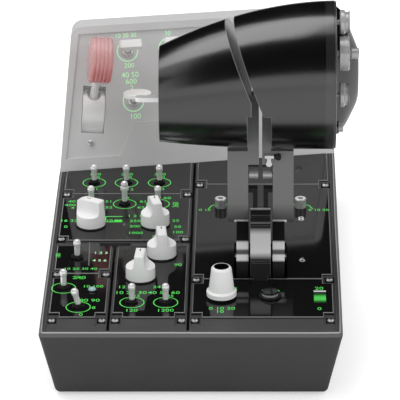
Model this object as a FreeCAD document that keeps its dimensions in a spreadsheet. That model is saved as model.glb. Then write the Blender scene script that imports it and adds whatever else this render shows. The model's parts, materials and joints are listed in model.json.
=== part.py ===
"""Throttle quadrant for a desktop cockpit, as one parametric document.

Frame: millimetres, +X to the pilot's right, +Y away from the pilot, +Z up.  The origin is the centre of the
four screw holes in the housing's underside, on that face; the feet reach below it.  Sizes live in the
"Sizes" sheet; every sub-part is an object of the document whose properties are bound to that sheet, and is
written to parts/ under its Label.
"""
import FreeCAD, Part
import Sketcher
import math
import os

V = FreeCAD.Vector
Rotation = FreeCAD.Rotation
Placement = FreeCAD.Placement

doc = FreeCAD.newDocument("ThrottleQuadrant")
sheet = doc.addObject("Spreadsheet::Sheet", "Sizes")


# ----------------------------------------------------------------------------------------------- sizes
class Size:
    """A length or angle that knows its number and the sheet expression that gives it."""

    def __init__(self, value, text):
        self.value = float(value)
        self.text = text

    def __add__(self, other):
        return Size(self.value + number(other), "(%s + %s)" % (self.text, text(other)))

    def __radd__(self, other):
        return Size(number(other) + self.value, "(%s + %s)" % (text(other), self.text))

    def __sub__(self, other):
        return Size(self.value - number(other), "(%s - %s)" % (self.text, text(other)))

    def __rsub__(self, other):
        return Size(number(other) - self.value, "(%s - %s)" % (text(other), self.text))

    def __mul__(self, other):
        return Size(self.value * number(other), "(%s * %s)" % (self.text, text(other)))

    __rmul__ = __mul__

    def __truediv__(self, other):
        return Size(self.value / number(other), "(%s / %s)" % (self.text, text(other)))

    def __neg__(self):
        return Size(-self.value, "(0 - %s)" % self.text)


def number(value):
    return value.value if isinstance(value, Size) else float(value)


def text(value):
    return value.text if isinstance(value, Size) else "%.6f" % value


def sine(angle):
    return Size(math.sin(math.radians(number(angle))), "sin(%s * 1 deg)" % text(angle))


def cosine(angle):
    return Size(math.cos(math.radians(number(angle))), "cos(%s * 1 deg)" % text(angle))


def tangent(angle):
    return Size(math.tan(math.radians(number(angle))), "tan(%s * 1 deg)" % text(angle))


SIZES = {
    # lower housing
    "deck_width": 210.0,          # width across the deck's outer edges
    "deck_length_left": 326.0,    # front edge to far edge along the left side
    "origin_from_front": 165.0,   # front edge to the centre of the screw holes
    "base_height": 51.0,
    "wall_draft": 12.0,           # degrees that every wall leans in towards the bottom
    "rim_chamfer": 3.0,
    "base_corner_radius": 4.0,
    "rim_width": 5.0,             # deck edge to the modules
    "foot_height": 2.0,
    "foot_radius": 8.0,
    "foot_spacing_across": 140.0,
    "foot_spacing_along": 230.0,
    "thread_radius": 2.1,
    "thread_depth": 12.0,
    "thread_spacing_across": 100.0,
    "thread_spacing_along": 180.0,
    # deck modules and their glossy panels
    "module_depth": 12.0,
    "module_gap": 1.8,
    "module_edge": 0.8,
    "seam_left": 57.1,            # left/middle seam, measured left of the centre line
    "seam_right": 2.1,            # middle/throttle seam, measured left of the centre line
    "rear_seam": 150.0,           # front edge to the rear module
    "cable_slot_width": 10.0,
    "cable_slot_length": 7.0,
    "panel_thickness": 1.2,
    "panel_margin": 1.6,
    "panel_gap": 1.0,
    "panel_front": 24.2,          # front edge to the first panels
    "panel_bevel": 0.5,
    "pocket_width": 8.4,          # module's edge to a screw pocket's inner side
    "pocket_reach": 7.0,          # panel's edge to the pocket's end
    "pocket_front": 12.5,         # how far a front pocket runs on ahead of the panel
    "pocket_depth": 1.0,          # of a front pocket, below the deck
    "screw_inset": 3.6,           # module's edge to a screw's centre
    "screw_radius": 2.5,
    "screw_height": 1.6,
    "row_left_front": 94.5,       # seam between the two left front panels
    "row_rear": 233.9,            # seam between the two rear panels
    "row_throttle_front": 85.7,   # seam in front of the throttle slot
    "row_throttle_rear": 251.5,   # seam behind the throttle slot
    # bat toggles
    "bushing_radius": 3.4,
    "bushing_height": 2.4,
    "bushing_bore": 2.6,
    "nut_flats": 8.6,
    "nut_height": 1.2,
    "pivot_height": 1.9,          # pivot ball centre above the panel
    "pivot_ball": 1.6,
    "bat_length": 12.2,           # pivot to the end of the bat
    "bat_tip_radius": 2.7,
    "bat_stem_radius": 2.1,
    "lever_stem_radius": 1.25,    # slimmer stems of the levers on the leaning panel
    "lever_lock_extra": 3.9,
    # heads of the levers on the leaning panel
    "far_head_foot": 14.0,        # pivot to the square heads
    "far_head_reach": 24.0,       # pivot to their far ends, and to the disc's centre
    "far_head_thickness": 6.0,
    "far_head_round": 2.0,
    "paddle_width": 16.8,
    "flap_width": 12.0,
    "far_disc_radius": 10.6,
    "far_disc_thickness": 3.3,
    "far_disc_crank": 26.0,       # degrees that the disc leans back on its lever
    # pointer knobs
    "collar_radius": 11.3,
    "collar_height": 0.8,
    "knob_clearance": 0.3,
    "knob_skirt_radius": 10.5,
    "knob_skirt_height": 8.4,
    "knob_height": 20.8,
    "knob_blade": 7.4,
    "knob_crown_radius": 9.9,
    "knob_flare": 3.6,            # radius of the hollow between the blade and the skirt
    "knob_crest": 4.4,            # knob's axis to where the pointer's tail starts to slope
    "knob_tail_slope": 24.0,
    # trim knob
    "trim_flange_radius": 10.5,
    "trim_flange_height": 3.2,
    "trim_skirt_radius": 8.4,     # hollow under the flange, around the guide ring
    "trim_body_radius": 8.95,
    "trim_neck_radius": 7.1,
    "trim_lip_radius": 5.9,
    "trim_bore": 5.0,
    "trim_height": 23.4,          # panel to the lip
    "trim_recess": 4.0,           # lip to the shaft's end
    "trim_travel": 1.5,
    "fit_clearance": 0.05,
    "slack": 0.3,                 # gap between pieces that move past each other
    # push button, lamp, friction knobs
    "button_radius": 5.9,
    "button_height": 2.6,
    "button_travel": 1.2,
    "button_ring_radius": 7.8,
    "lamp_radius": 2.75,
    "friction_radius": 4.3,
    "friction_height": 7.3,
    "friction_socket": 2.3,
    # throttle mechanism
    "throttle_x": 47.8,           # centre plane of the throttle pair
    "axle_y": 116.3,              # front edge to the axle
    "axle_above_deck": 3.9,
    "axle_radius": 2.5,
    "axle_half_length": 18.2,
    "detent_radius": 31.0,
    "detent_rise": 6.8,           # detent drum centre above the axle
    "detent_half_width": 7.2,
    "detent_groove": 1.0,
    "hub_radius": 29.0,
    "hub_inner": 8.5,
    "hub_outer": 17.0,
    "slot_half_width": 18.8,
    "slot_half_length": 29.8,
    "well_depth": 27.0,
    "bracket_height": 13.4,
    "arm_inner": 1.13,
    "arm_outer": 23.3,
    "arm_behind": 3.2,            # centre of the arms' plates behind the axle
    "arm_thickness": 7.4,
    "arm_bottom": 31.6,
    "arm_top": 86.2,
    "notch_half_width": 8.6,
    "notch_top": 74.2,
    "roller_height": 67.2,
    "roller_radius": 3.6,
    "ledge_height": 57.2,
    "plunger_width": 3.2,
    "neck_depth": 6.8,
    "neck_top": 129.4,
    # grips
    "grip_left_end": 70.6,
    "grip_right_end": 51.2,
    "notch_left": 9.0,            # sides of the notch around the necks
    "notch_right": 7.5,
    "gap_left_foot": 6.2,         # left face of the gap, upright for a short way above the notch
    "gap_left_upright": 10.6,
    "gap_right_foot": -2.4,
    "gap_left_slope": 0.423,
    "gap_right_slope": 0.378,
    "finger_lever_length": 17.0,
    "finger_lever_thickness": 3.2,
    "finger_lever_depth": 5.4,
    "finger_lever_height": 126.0,
    "finger_pivot_inset": 3.0,
    # controls on the right grip's end
    "end_plate": 1.2,
    "control_stand_off": 2.3,
    "control_thickness": 6.8,
    "control_stem_radius": 1.8,
    "hat_radius": 8.5,
    "wheel_radius": 12.0,
    "stub_radius": 3.9,
    "stub_length": 5.2,
    "stub_stem_radius": 1.6,
    "stub_travel": 1.0,
    "end_button_radius": 3.3,
    "end_button_length": 4.0,
    "end_button_travel": 1.0,
    # leaning far housing
    "far_yaw": 10.0,
    "far_tilt": 65.0,
    "far_front": 276.5,           # deck's front edge to the housing's front line, at the left deck edge
    "far_slope_length": 109.0,
    "far_side_inset": 1.2,        # deck's side to the housing's side, at the deck
    "far_side_lean": 8.5,         # how far the housing's sides lean in by its top
    "far_depth_bottom": 49.0,
    "far_depth_top": 14.0,
    "far_corner_radius": 8.0,
    "far_recess_depth": 1.4,
    "far_recess_margin": 9.8,
    "far_badge_height": 34.0,     # top of the plain raised plate at the face's foot
    "far_screw_inset": 26.7,
    "far_screw_rise": 20.4,
    "gear_slot_u": 30.1,          # slot centre along the housing's width
    "gear_slot_s": 44.3,          # slot centre up the slope
    "gear_slot_width": 17.4,
    "gear_slot_length": 33.0,
    "gear_slot_head": 2.5,        # how much further the slot runs on above the shutter
    "gear_socket_radius": 5.2,    # hollow in the shutter around the rod's root
    "gear_lean": 7.0,
    "gear_pivot_depth": 22.0,
    "gear_lever_angle": 36.0,
    "gear_shutter_sweep": 142.0,
    "gear_lever_length": 63.0,
    "gear_rod_radius": 3.0,
    "gear_wheel_radius": 17.5,
    "gear_wheel_width": 16.4,
    "gear_pin_radius": 2.0,
    "gear_rod_inset": 6.0,        # rod's end to the wheel's centre
}

S = {}
for row, (alias, value) in enumerate(SIZES.items(), start=1):
    sheet.set("A%d" % row, alias)
    sheet.set("B%d" % row, str(value))
    sheet.setAlias("B%d" % row, alias)
    S[alias] = Size(value, "Sizes." + alias)
doc.recompute()

# places that many pieces share
half_width = S["deck_width"] / 2
deck = S["base_height"]
panel_top = deck + S["panel_thickness"]
yaw_slope = tangent(S["far_yaw"])
axle_z = deck + S["axle_above_deck"]


def along(distance):
    """Y of a point given its distance behind the deck's front edge."""
    return distance - S["origin_from_front"]


def far_line(x, behind=0.0):
    """Y of the leaning housing's front line at x, or of a line parallel to it further back."""
    return along(S["far_front"]) + (x + half_width) * yaw_slope + behind


axle_y = along(S["axle_y"])


# ------------------------------------------------------------------------------------------- builders
sub_parts = []


def node(name, obj):
    """Register a finished sub-part under the name of its file."""
    obj.Label = name
    sub_parts.append(obj)
    return obj


def bind(obj, **properties):
    for name, value in properties.items():
        setattr(obj, name, number(value))
        if isinstance(value, Size):
            obj.setExpression(name, value.text)


def place(obj, at, rotation=None):
    obj.Placement = Placement(V(*[number(c) for c in at]), rotation or Rotation())
    for axis, value in zip("xyz", at):
        if isinstance(value, Size):
            obj.setExpression("Placement.Base." + axis, value.text)
    return obj


def box(low, size, rotation=None):
    obj = doc.addObject("Part::Box", "Box")
    bind(obj, Length=size[0], Width=size[1], Height=size[2])
    return place(obj, low, rotation)


def cylinder(radius, height, at, rotation=None, angle=360.0):
    obj = doc.addObject("Part::Cylinder", "Cylinder")
    bind(obj, Radius=radius, Height=height, Angle=angle)
    return place(obj, at, rotation)


def cone(radius1, radius2, height, at, rotation=None):
    obj = doc.addObject("Part::Cone", "Cone")
    bind(obj, Radius1=radius1, Radius2=radius2, Height=height)
    return place(obj, at, rotation)


def fuse(*pieces):
    obj = doc.addObject("Part::MultiFuse", "Fusion")
    obj.Shapes = list(pieces)
    obj.Refine = True
    return obj


def cut(base, *tools):
    obj = doc.addObject("Part::Cut", "Cut")
    obj.Base = base
    obj.Tool = tools[0] if len(tools) == 1 else fuse(*tools)
    obj.Refine = True
    return obj


def common(first, second):
    obj = doc.addObject("Part::MultiCommon", "Common")
    obj.Shapes = [first, second]
    obj.Refine = True
    return obj


def group(*pieces):
    obj = doc.addObject("Part::Compound", "Group")
    obj.Links = list(pieces)
    return obj


def outline(body, points, plane="XY_Plane"):
    """A closed sketch of straight sides; each corner is held by its two distances from the origin."""
    sketch = body.newObject("Sketcher::SketchObject", "Outline")
    support = [f for f in body.Origin.OriginFeatures if f.Role == plane][0]
    sketch.AttachmentSupport = [(support, "")]
    sketch.MapMode = "FlatFace"
    count = len(points)
    corners = [V(number(px), number(py), 0) for px, py in points]
    for i in range(count):
        sketch.addGeometry(Part.LineSegment(corners[i], corners[(i + 1) % count]), False)
    for i in range(count):
        sketch.addConstraint(Sketcher.Constraint("Coincident", i, 2, (i + 1) % count, 1))
    for i, (px, py) in enumerate(points):
        for kind, value in (("DistanceX", px), ("DistanceY", py)):
            index = sketch.addConstraint(Sketcher.Constraint(kind, -1, 1, i, 1, number(value)))
            if isinstance(value, Size):
                sketch.setExpression("Constraints[%d]" % index, value.text)
    return sketch


def pad(points, length, at=(0.0, 0.0, 0.0), plane="XY_Plane", rotation=None, midplane=False, draft=None, down=False):
    """A PartDesign body padded from one outline."""
    body = doc.addObject("PartDesign::Body", "Body")
    feature = body.newObject("PartDesign::Pad", "Pad")
    feature.Profile = outline(body, points, plane)
    bind(feature, Length=length)
    feature.Midplane = midplane
    feature.Reversed = down
    if draft is not None:
        bind(feature, TaperAngle=draft)
    body.Tip = feature
    return place(body, at, rotation)


def turned(profile, at, rotation=None):
    """A PartDesign body turned about its Z axis from (radius, height) points."""
    body = doc.addObject("PartDesign::Body", "Body")
    sketch = outline(body, profile, "XZ_Plane")
    feature = body.newObject("PartDesign::Revolution", "Revolution")
    feature.Profile = sketch
    feature.ReferenceAxis = (sketch, ["V_Axis"])
    feature.Angle = 360.0
    body.Tip = feature
    return place(body, at, rotation)


def edges_of(feature, wanted):
    """Names of a feature's edges whose centre passes the test."""
    return ["Edge%d" % i for i, edge in enumerate(feature.Shape.Edges, start=1) if wanted(edge)]


def dress(body, kind, size, wanted):
    """Fillet or chamfer the edges of a body's tip that pass the test."""
    doc.recompute()
    base = body.Tip
    feature = body.newObject("PartDesign::" + kind, kind)
    feature.Base = (base, edges_of(base, wanted))
    bind(feature, **{"Radius" if kind == "Fillet" else "Size": size})
    body.Tip = feature
    return body


ALONG_X = Rotation(V(0, 1, 0), 90)          # turns a piece's Z axis to +X


def centred_box(x, y, z, sx, sy, sz):
    return box((x - sx / 2, y - sy / 2, z), (sx, sy, sz))


# ----------------------------------------------------------------------------------------- lower housing
deck_far_right = S["deck_length_left"] + S["deck_width"] * yaw_slope


def make_base():
    corners = [(-half_width, along(0.0)), (half_width, along(0.0)),
               (half_width, along(deck_far_right)), (-half_width, along(S["deck_length_left"]))]
    shell = pad(corners, S["base_height"], at=(0.0, 0.0, deck), down=True, draft=-S["wall_draft"])
    height = number(S["base_height"])
    dress(shell, "Fillet", S["base_corner_radius"],
          lambda e: len(e.Vertexes) == 2 and abs(e.Vertexes[0].Z - e.Vertexes[1].Z) > height / 2)
    dress(shell, "Fillet", S["base_corner_radius"], lambda e: e.BoundBox.ZMax < -height + 0.01)
    dress(shell, "Chamfer", S["rim_chamfer"], lambda e: e.BoundBox.ZMin > -0.01)
    rim = S["rim_width"]
    tray = pad([(-half_width + rim, along(rim)), (half_width - rim, along(rim)),
                (half_width - rim, far_line(half_width - rim)), (-half_width + rim, far_line(-half_width + rim))],
               S["module_depth"] + 1, at=(0.0, 0.0, deck - S["module_depth"]))
    well_x = S["slot_half_width"] + 0.7
    well_y = S["slot_half_length"] + 1.5
    well = box((S["throttle_x"] - well_x, axle_y - well_y, deck - S["well_depth"]),
               (well_x * 2, well_y * 2, S["well_depth"]))
    holes = []
    for side in (-1, 1):
        for end in (-1, 1):
            holes.append(cylinder(S["thread_radius"], S["thread_depth"],
                                  (S["thread_spacing_across"] * (side / 2), S["thread_spacing_along"] * (end / 2),
                                   0.0)))
    node("base_housing", cut(shell, tray, well, *holes))


def make_feet():
    feet = []
    for side in (-1, 1):
        for end in (-1, 1):
            feet.append(cone(S["foot_radius"] - 0.6, S["foot_radius"], S["foot_height"],
                             (S["foot_spacing_across"] * (side / 2), S["foot_spacing_along"] * (end / 2),
                              -S["foot_height"])))
    node("foot_pads", group(*feet))


# ----------------------------------------------------------------------------------------- deck modules
module_left = -half_width + S["rim_width"]
module_right = half_width - S["rim_width"]
module_front = along(S["rim_width"])
half_gap = S["module_gap"] / 2
left_seam = -S["seam_left"]
right_seam = -S["seam_right"]
rear_seam = along(S["rear_seam"])


def front_pockets(left, right):
    """The sunk front corners of a module, where its screws sit ahead of the panel."""
    width, start = S["pocket_width"] - 1, along(S["panel_front"]) - S["pocket_front"]
    length, depth = S["pocket_front"] + S["pocket_reach"], S["pocket_depth"]
    return [box((x, start, deck - depth), (width, length, depth + 1)) for x in (left + 1, right - 1 - width)]


def module(name, points, *openings):
    body = pad(points, S["module_depth"], at=(0.0, 0.0, deck - S["module_depth"]))
    top = number(S["module_depth"])
    dress(body, "Chamfer", S["module_edge"], lambda e: e.BoundBox.ZMin > top - 0.01)
    node(name, cut(body, *openings) if openings else body)


def throttle_opening(height, bottom):
    return box((S["throttle_x"] - S["slot_half_width"], axle_y - S["slot_half_length"], bottom),
               (S["slot_half_width"] * 2, S["slot_half_length"] * 2, height))


def make_modules():
    slot_x, slot_y = S["cable_slot_width"], S["cable_slot_length"]
    left_edge, right_edge = left_seam - half_gap, left_seam + half_gap
    rear_front, front_rear = rear_seam + half_gap, rear_seam - half_gap
    module("module_front_left", [(module_left, module_front), (left_edge, module_front),
                                 (left_edge, front_rear - slot_y), (left_edge - slot_x, front_rear - slot_y),
                                 (left_edge - slot_x, front_rear), (module_left, front_rear)],
           *front_pockets(module_left, left_edge))
    middle_edge = right_seam - half_gap
    module("module_front_middle", [(right_edge, module_front), (middle_edge, module_front),
                                   (middle_edge, front_rear), (right_edge + slot_x, front_rear),
                                   (right_edge + slot_x, front_rear - slot_y), (right_edge, front_rear - slot_y)],
           *front_pockets(right_edge, middle_edge))
    module("module_rear", [(module_left, rear_front), (middle_edge, rear_front),
                           (middle_edge, far_line(middle_edge)), (module_left, far_line(module_left))])
    throttle_edge = right_seam + half_gap
    module("module_throttle", [(throttle_edge, module_front), (module_right, module_front),
                               (module_right, far_line(module_right)), (throttle_edge, far_line(throttle_edge))],
           throttle_opening(S["module_depth"] + 2, deck - S["module_depth"] - 1),
           *front_pockets(throttle_edge, module_right))


def panel(name, left, right, front, rear, pockets, opening=None):
    """A glossy plate; pockets names the corners that leave room for a screw: fl, fr, rl, rr."""
    side = S["pocket_width"] - S["panel_margin"]
    deep = S["pocket_reach"]
    points = []
    for corner, x, y, dx, dy in (("fl", left, front, 1, 1), ("fr", right, front, -1, 1),
                                 ("rr", right, rear, -1, -1), ("rl", left, rear, 1, -1)):
        edge_y = y(x)
        if corner not in pockets:
            points.append((x, edge_y))
            continue
        inner_x = x + side * dx
        inner_y = edge_y + deep * dy
        steps = [(x, inner_y), (inner_x, inner_y), (inner_x, y(inner_x))]
        points.extend(steps if corner in ("fl", "rr") else reversed(steps))
    body = pad(points, S["panel_thickness"], at=(0.0, 0.0, deck))
    top = number(S["panel_thickness"])
    dress(body, "Chamfer", S["panel_bevel"], lambda e: e.BoundBox.ZMin > top - 0.01)
    node(name, cut(body, opening) if opening else body)


def straight(y):
    return lambda x: y


def make_panels():
    margin, gap = S["panel_margin"], S["panel_gap"] / 2
    far_left, far_right = module_left + margin, module_right - margin
    left_inner = left_seam - half_gap - margin
    middle_left = left_seam + half_gap + margin
    middle_right = right_seam - half_gap - margin
    throttle_left = right_seam + half_gap + margin
    front = along(S["panel_front"])
    left_row, rear_row = along(S["row_left_front"]), along(S["row_rear"])
    row_front, row_rear = along(S["row_throttle_front"]), along(S["row_throttle_rear"])
    front_rear = rear_seam - half_gap - S["cable_slot_length"] - gap

    def far_edge(x):
        return far_line(x, -margin)

    panel("panel_left_front", far_left, left_inner, straight(front), straight(left_row - gap),
          ("fl", "fr", "rl", "rr"))
    panel("panel_left_rear", far_left, left_inner, straight(left_row + gap), straight(front_rear), ("fl", "fr"))
    panel("panel_middle", middle_left, middle_right, straight(front), straight(front_rear), ("fl", "fr"))
    panel("panel_mode", far_left, middle_right, straight(rear_seam + half_gap + gap), straight(rear_row - gap),
          ("fl", "fr", "rl", "rr"))
    panel("panel_far_left", far_left, middle_right, straight(rear_row + gap), far_edge, ("fl", "fr"))
    panel("panel_trim", throttle_left, far_right, straight(front), straight(row_front - gap), ("fl", "fr", "rl", "rr"))
    panel("panel_throttle", throttle_left, far_right, straight(row_front + gap), straight(row_rear - gap),
          ("fl", "fr", "rl", "rr"), throttle_opening(S["panel_thickness"] + 2, deck - 1))
    panel("panel_far_right", throttle_left, far_right, straight(row_rear + gap), far_edge, ("fl", "fr"))


def make_screws():
    """Button-head screws in the corners of the panels, and four more on the leaning panel."""
    inset = S["screw_inset"]
    columns_left = (module_left + inset, left_seam - half_gap - inset)
    columns_middle = (left_seam + half_gap + inset, right_seam - half_gap - inset)
    columns_right = (right_seam + half_gap + inset, module_right - inset)
    front_row = along(S["panel_front"]) - S["screw_radius"] + 0.5
    places = [(x, front_row, deck - S["pocket_depth"]) for x in columns_left + columns_middle + columns_right]
    places += [(x, along(S["row_left_front"]), deck) for x in columns_left]
    places += [(x, rear_seam + half_gap + S["screw_inset"], deck) for x in (columns_left[0], columns_middle[1])]
    places += [(x, along(S["row_rear"]), deck) for x in (columns_left[0], columns_middle[1])]
    rows = (S["row_throttle_front"], S["row_throttle_rear"])
    places += [(x, along(row), deck) for row in rows for x in columns_right]
    radius, height = S["screw_radius"], S["screw_height"]
    profile = [(0.0, 0.0), (radius, 0.0), (radius, height * 0.4), (radius * 0.62, height), (0.0, height)]
    heads = [turned(profile, at) for at in places]
    far_width = S["deck_width"] / cosine(S["far_yaw"])
    for u in (S["far_screw_inset"], far_width - S["far_screw_inset"]):
        heads.append(turned(profile, *far_place(u, S["far_screw_rise"], -S["far_recess_depth"])))
    node("panel_screws", group(*heads))


# -------------------------------------------------------------------------------- leaning housing frame
def far_axes():
    return Rotation(V(0, 0, 1), number(S["far_yaw"])) * Rotation(V(1, 0, 0), number(S["far_tilt"]))


def far_base(u, behind=0.0):
    """A point of the housing's front line, u along it, as plan coordinates."""
    x = -half_width + u * cosine(S["far_yaw"]) - behind * sine(S["far_yaw"])
    y = along(S["far_front"]) + u * sine(S["far_yaw"]) + behind * cosine(S["far_yaw"])
    return x, y


def far_place(u, slope, out):
    """Place on the leaning face: u to the right, slope up the face, out along its normal."""
    behind = slope * cosine(S["far_tilt"]) - out * sine(S["far_tilt"])
    rise = slope * sine(S["far_tilt"]) + out * cosine(S["far_tilt"])
    x, y = far_base(u, behind)
    return (x, y, deck + rise), far_axes()


def make_far_housing():
    tilt, length = S["far_tilt"], S["far_slope_length"]
    top_v, top_z = length * cosine(tilt), length * sine(tilt)
    turn = Rotation(V(0, 0, 1), number(S["far_yaw"]))
    side = pad([(0.0, 0.0), (S["far_depth_bottom"], 0.0), (top_v + S["far_depth_top"], top_z), (top_v, top_z)],
               S["deck_width"] * 2, at=far_base(S["deck_width"] / 2) + (deck,), plane="YZ_Plane", rotation=turn,
               midplane=True)
    half = half_width - S["far_side_inset"]
    lean = S["far_side_lean"]
    front = pad([(-half, 0.0), (half, 0.0), (half - lean, top_z), (lean - half, top_z)], S["deck_length_left"] * 2,
                at=(0.0, far_line(0.0), deck), plane="XZ_Plane", midplane=True)
    dress(front, "Fillet", S["far_corner_radius"],
          lambda e: e.BoundBox.YLength > 1 and e.BoundBox.ZMin > number(top_z) - 0.01)
    face_at, axes = far_place(0.0, 0.0, -S["far_recess_depth"])
    width = S["deck_width"] / cosine(S["far_yaw"])
    low, step, high = S["far_recess_margin"], S["far_badge_height"], length - S["far_recess_margin"] * 0.6
    # The face climbs away at the yaw angle, so the rim's top ends stand further in on the left than on the right.
    rim_foot, rim_head_left, rim_head_right = 6.5, 23.0, 8.0
    badge_foot, badge_head = 47.7, 60.2
    recess = pad([(rim_foot, low), (badge_foot, low), (badge_head, step), (width - badge_head, step),
                  (width - badge_foot, low), (width - rim_foot, low), (width - rim_head_right, high),
                  (rim_head_left, high)],
                 S["far_recess_depth"] + 1, at=face_at, rotation=axes)
    node("far_housing", cut(common(side, front), recess, *gear_cavity()))


gear_u, gear_s = S["gear_slot_u"], S["gear_slot_s"]


def gear_axes():
    return far_axes() * Rotation(V(0, 0, 1), -number(S["gear_lean"]))


def gear_place(across, up, out):
    """Place about the gear slot's centre: across and up in the leaning slot's own directions."""
    lean = S["gear_lean"]
    u = gear_u + across * cosine(lean) + up * sine(lean)
    slope = gear_s - across * sine(lean) + up * cosine(lean)
    return far_place(u, slope, out)[0]


def gear_cavity():
    width, length, depth = S["gear_slot_width"], S["gear_slot_length"], S["gear_pivot_depth"]
    slack = S["slack"]
    axes = gear_axes()
    slot = box(gear_place(-width / 2, -length / 2, -8.0), (width, length + S["gear_slot_head"], 10.0), axes)
    drum = cylinder(depth + slack, width, gear_place(-width / 2, 0.0, -depth), axes * ALONG_X)
    limit = box(gear_place(-width / 2, -depth * 1.2, -depth - 6.2), (width, depth * 2.4, depth + 6.2), axes)
    pin_reach = width / 2 + 4.0
    bore = cylinder(S["gear_pin_radius"] + S["fit_clearance"], pin_reach * 2,
                    gear_place(-pin_reach, 0.0, -depth), axes * ALONG_X)
    return slot, common(drum, limit), bore


def make_gear():
    depth, width = S["gear_pivot_depth"], S["gear_slot_width"]
    slack = S["slack"]
    axes = gear_axes()
    half = width / 2 - slack
    angle = S["gear_lever_angle"]
    # The curved shutter fills the slot around the rod: a sector that starts two degrees behind straight up and
    # ends 50 degrees below the face's normal.
    sweep = S["gear_shutter_sweep"]
    shutter = cylinder(depth, half * 2, gear_place(-half, 0.0, -depth),
                       axes * ALONG_X * Rotation(V(0, 0, 1), 88.0), angle=sweep)
    rod_turn = axes * Rotation(V(1, 0, 0), -number(angle))
    hollow = cylinder(S["gear_socket_radius"], 10.0, rod_point(depth - 3.4), rod_turn)
    reach = half + 3.8
    pin = cylinder(S["gear_pin_radius"], reach * 2, gear_place(-reach, 0.0, -depth), axes * ALONG_X)
    rod = cylinder(S["gear_rod_radius"], S["gear_lever_length"] - S["gear_rod_inset"],
                   gear_place(0.0, 0.0, -depth), rod_turn)
    node("gear_lever", fuse(cut(shutter, hollow), pin, rod))
    make_gear_wheel(rod_turn)


def rod_point(distance):
    """A point on the gear rod's axis, measured from its pivot."""
    angle = S["gear_lever_angle"]
    return gear_place(0.0, distance * sine(angle), -S["gear_pivot_depth"] + distance * cosine(angle))


def make_gear_wheel(rod_turn):
    """Ribbed wheel across the rod's end, its axis along the pivot's; a socket in its rim holds the rod."""
    radius, half = S["gear_wheel_radius"], S["gear_wheel_width"] / 2
    rib, edge, ribs = 0.7, 0.8, 5
    pitch = (half - edge) * (2.0 / ribs)
    points = [(0.0, -half), (radius - 1.4, -half), (radius - rib, -half + edge)]
    for i in range(ribs):
        low = -half + edge + pitch * i
        points += [(radius, low + pitch * 0.3), (radius, low + pitch * 0.7)]
        if i < ribs - 1:
            points.append((radius - rib, low + pitch))
    points += [(radius - rib, half - edge), (radius - 1.4, half), (0.0, half)]
    wheel = turned(points, rod_point(S["gear_lever_length"]), rod_turn * ALONG_X)
    socket = cylinder(S["gear_rod_radius"], radius - S["gear_rod_inset"] + 2,
                      rod_point(S["gear_lever_length"] - radius - 2), rod_turn)
    node("gear_wheel", cut(wheel, socket))


# -------------------------------------------------------------------------------------------- toggles
# name: X from the centre line, distance behind the front edge, lean of the bat in degrees, bat kind
DECK_TOGGLES = {
    "toggle_far_left": (-76.9, 255.6, 0.0, "plain"),
    "toggle_far_middle": (-52.8, 255.6, 0.0, "plain"),
    "toggle_far_right": (-28.0, 255.6, 0.0, "plain"),
    "toggle_mode_left": (-77.4, 216.5, 0.0, "plain"),
    "toggle_mode_lock": (-52.7, 216.5, 0.0, "lock"),
    "toggle_mode_right": (-28.1, 216.5, 0.0, "plain"),
    "toggle_side": (-83.2, 121.6, 0.0, "plain"),
    "toggle_left_rear": (-90.4, 71.7, 0.0, "plain"),
    "toggle_left_front": (-78.7, 40.9, -14.0, "plain"),
    "toggle_middle_left": (-41.7, 48.4, 0.0, "plain"),
    "toggle_middle_right": (-18.2, 48.4, 0.0, "plain"),
}
# name: place along the leaning face, up the slope, lean of the lever in degrees
FAR_TOGGLES = {
    "far_toggle_paddle": (59.3, 88.3, 10.0),
    "far_toggle_disc": (61.1, 50.1, 9.0),
    "far_toggle_flap": (91.4, 88.4, 10.0),
}


def bat_profile():
    """Pivot ball, straight bat and rounded head; heights from the pivot."""
    ball, stem, tip, end = S["pivot_ball"], S["bat_stem_radius"], S["bat_tip_radius"], S["bat_length"]
    return [(0.0, -ball), (ball * 0.7, ball * -0.7), (ball, 0.0), (stem, ball * 0.3), (stem, end - tip * 2.1),
            (tip - 0.2, end - tip * 1.6), (tip, end - tip), (tip - 0.3, end - tip * 0.5),
            (tip * 0.62, end - tip * 0.16), (tip * 0.3, end), (0.0, end)]


def lock_profile():
    """A taller bat with a pull-up sleeve below its head."""
    ball, stem, tip = S["pivot_ball"], S["bat_stem_radius"], S["bat_tip_radius"]
    end = S["bat_length"] + S["lever_lock_extra"]
    sleeve = tip + 0.45
    return [(0.0, -ball), (ball * 0.7, ball * -0.7), (ball, 0.0), (stem, ball * 0.3), (stem, end - 7.4),
            (sleeve, end - 7.0), (sleeve, end - 4.8), (stem, end - 4.4), (tip - 0.2, end - tip * 1.4),
            (tip, end - tip * 0.9), (tip * 0.7, end - 0.6), (tip * 0.3, end), (0.0, end)]


def make_deck_toggles():
    for name, (x, y, lean, kind) in DECK_TOGGLES.items():
        profile = lock_profile() if kind == "lock" else bat_profile()
        node(name, turned(profile, (x, along(y), panel_top + S["pivot_height"]), Rotation(V(0, 1, 0), lean)))


def far_pivot(u, slope):
    return far_place(u, slope, S["pivot_height"] - S["far_recess_depth"])[0]


def lever_stem(at, turn, length):
    ball, stem = S["pivot_ball"], S["lever_stem_radius"]
    return turned([(0.0, -ball), (ball * 0.7, ball * -0.7), (ball, 0.0), (stem, ball * 0.8),
                   (stem + 0.4, length), (0.0, length)], at, turn)


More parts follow.
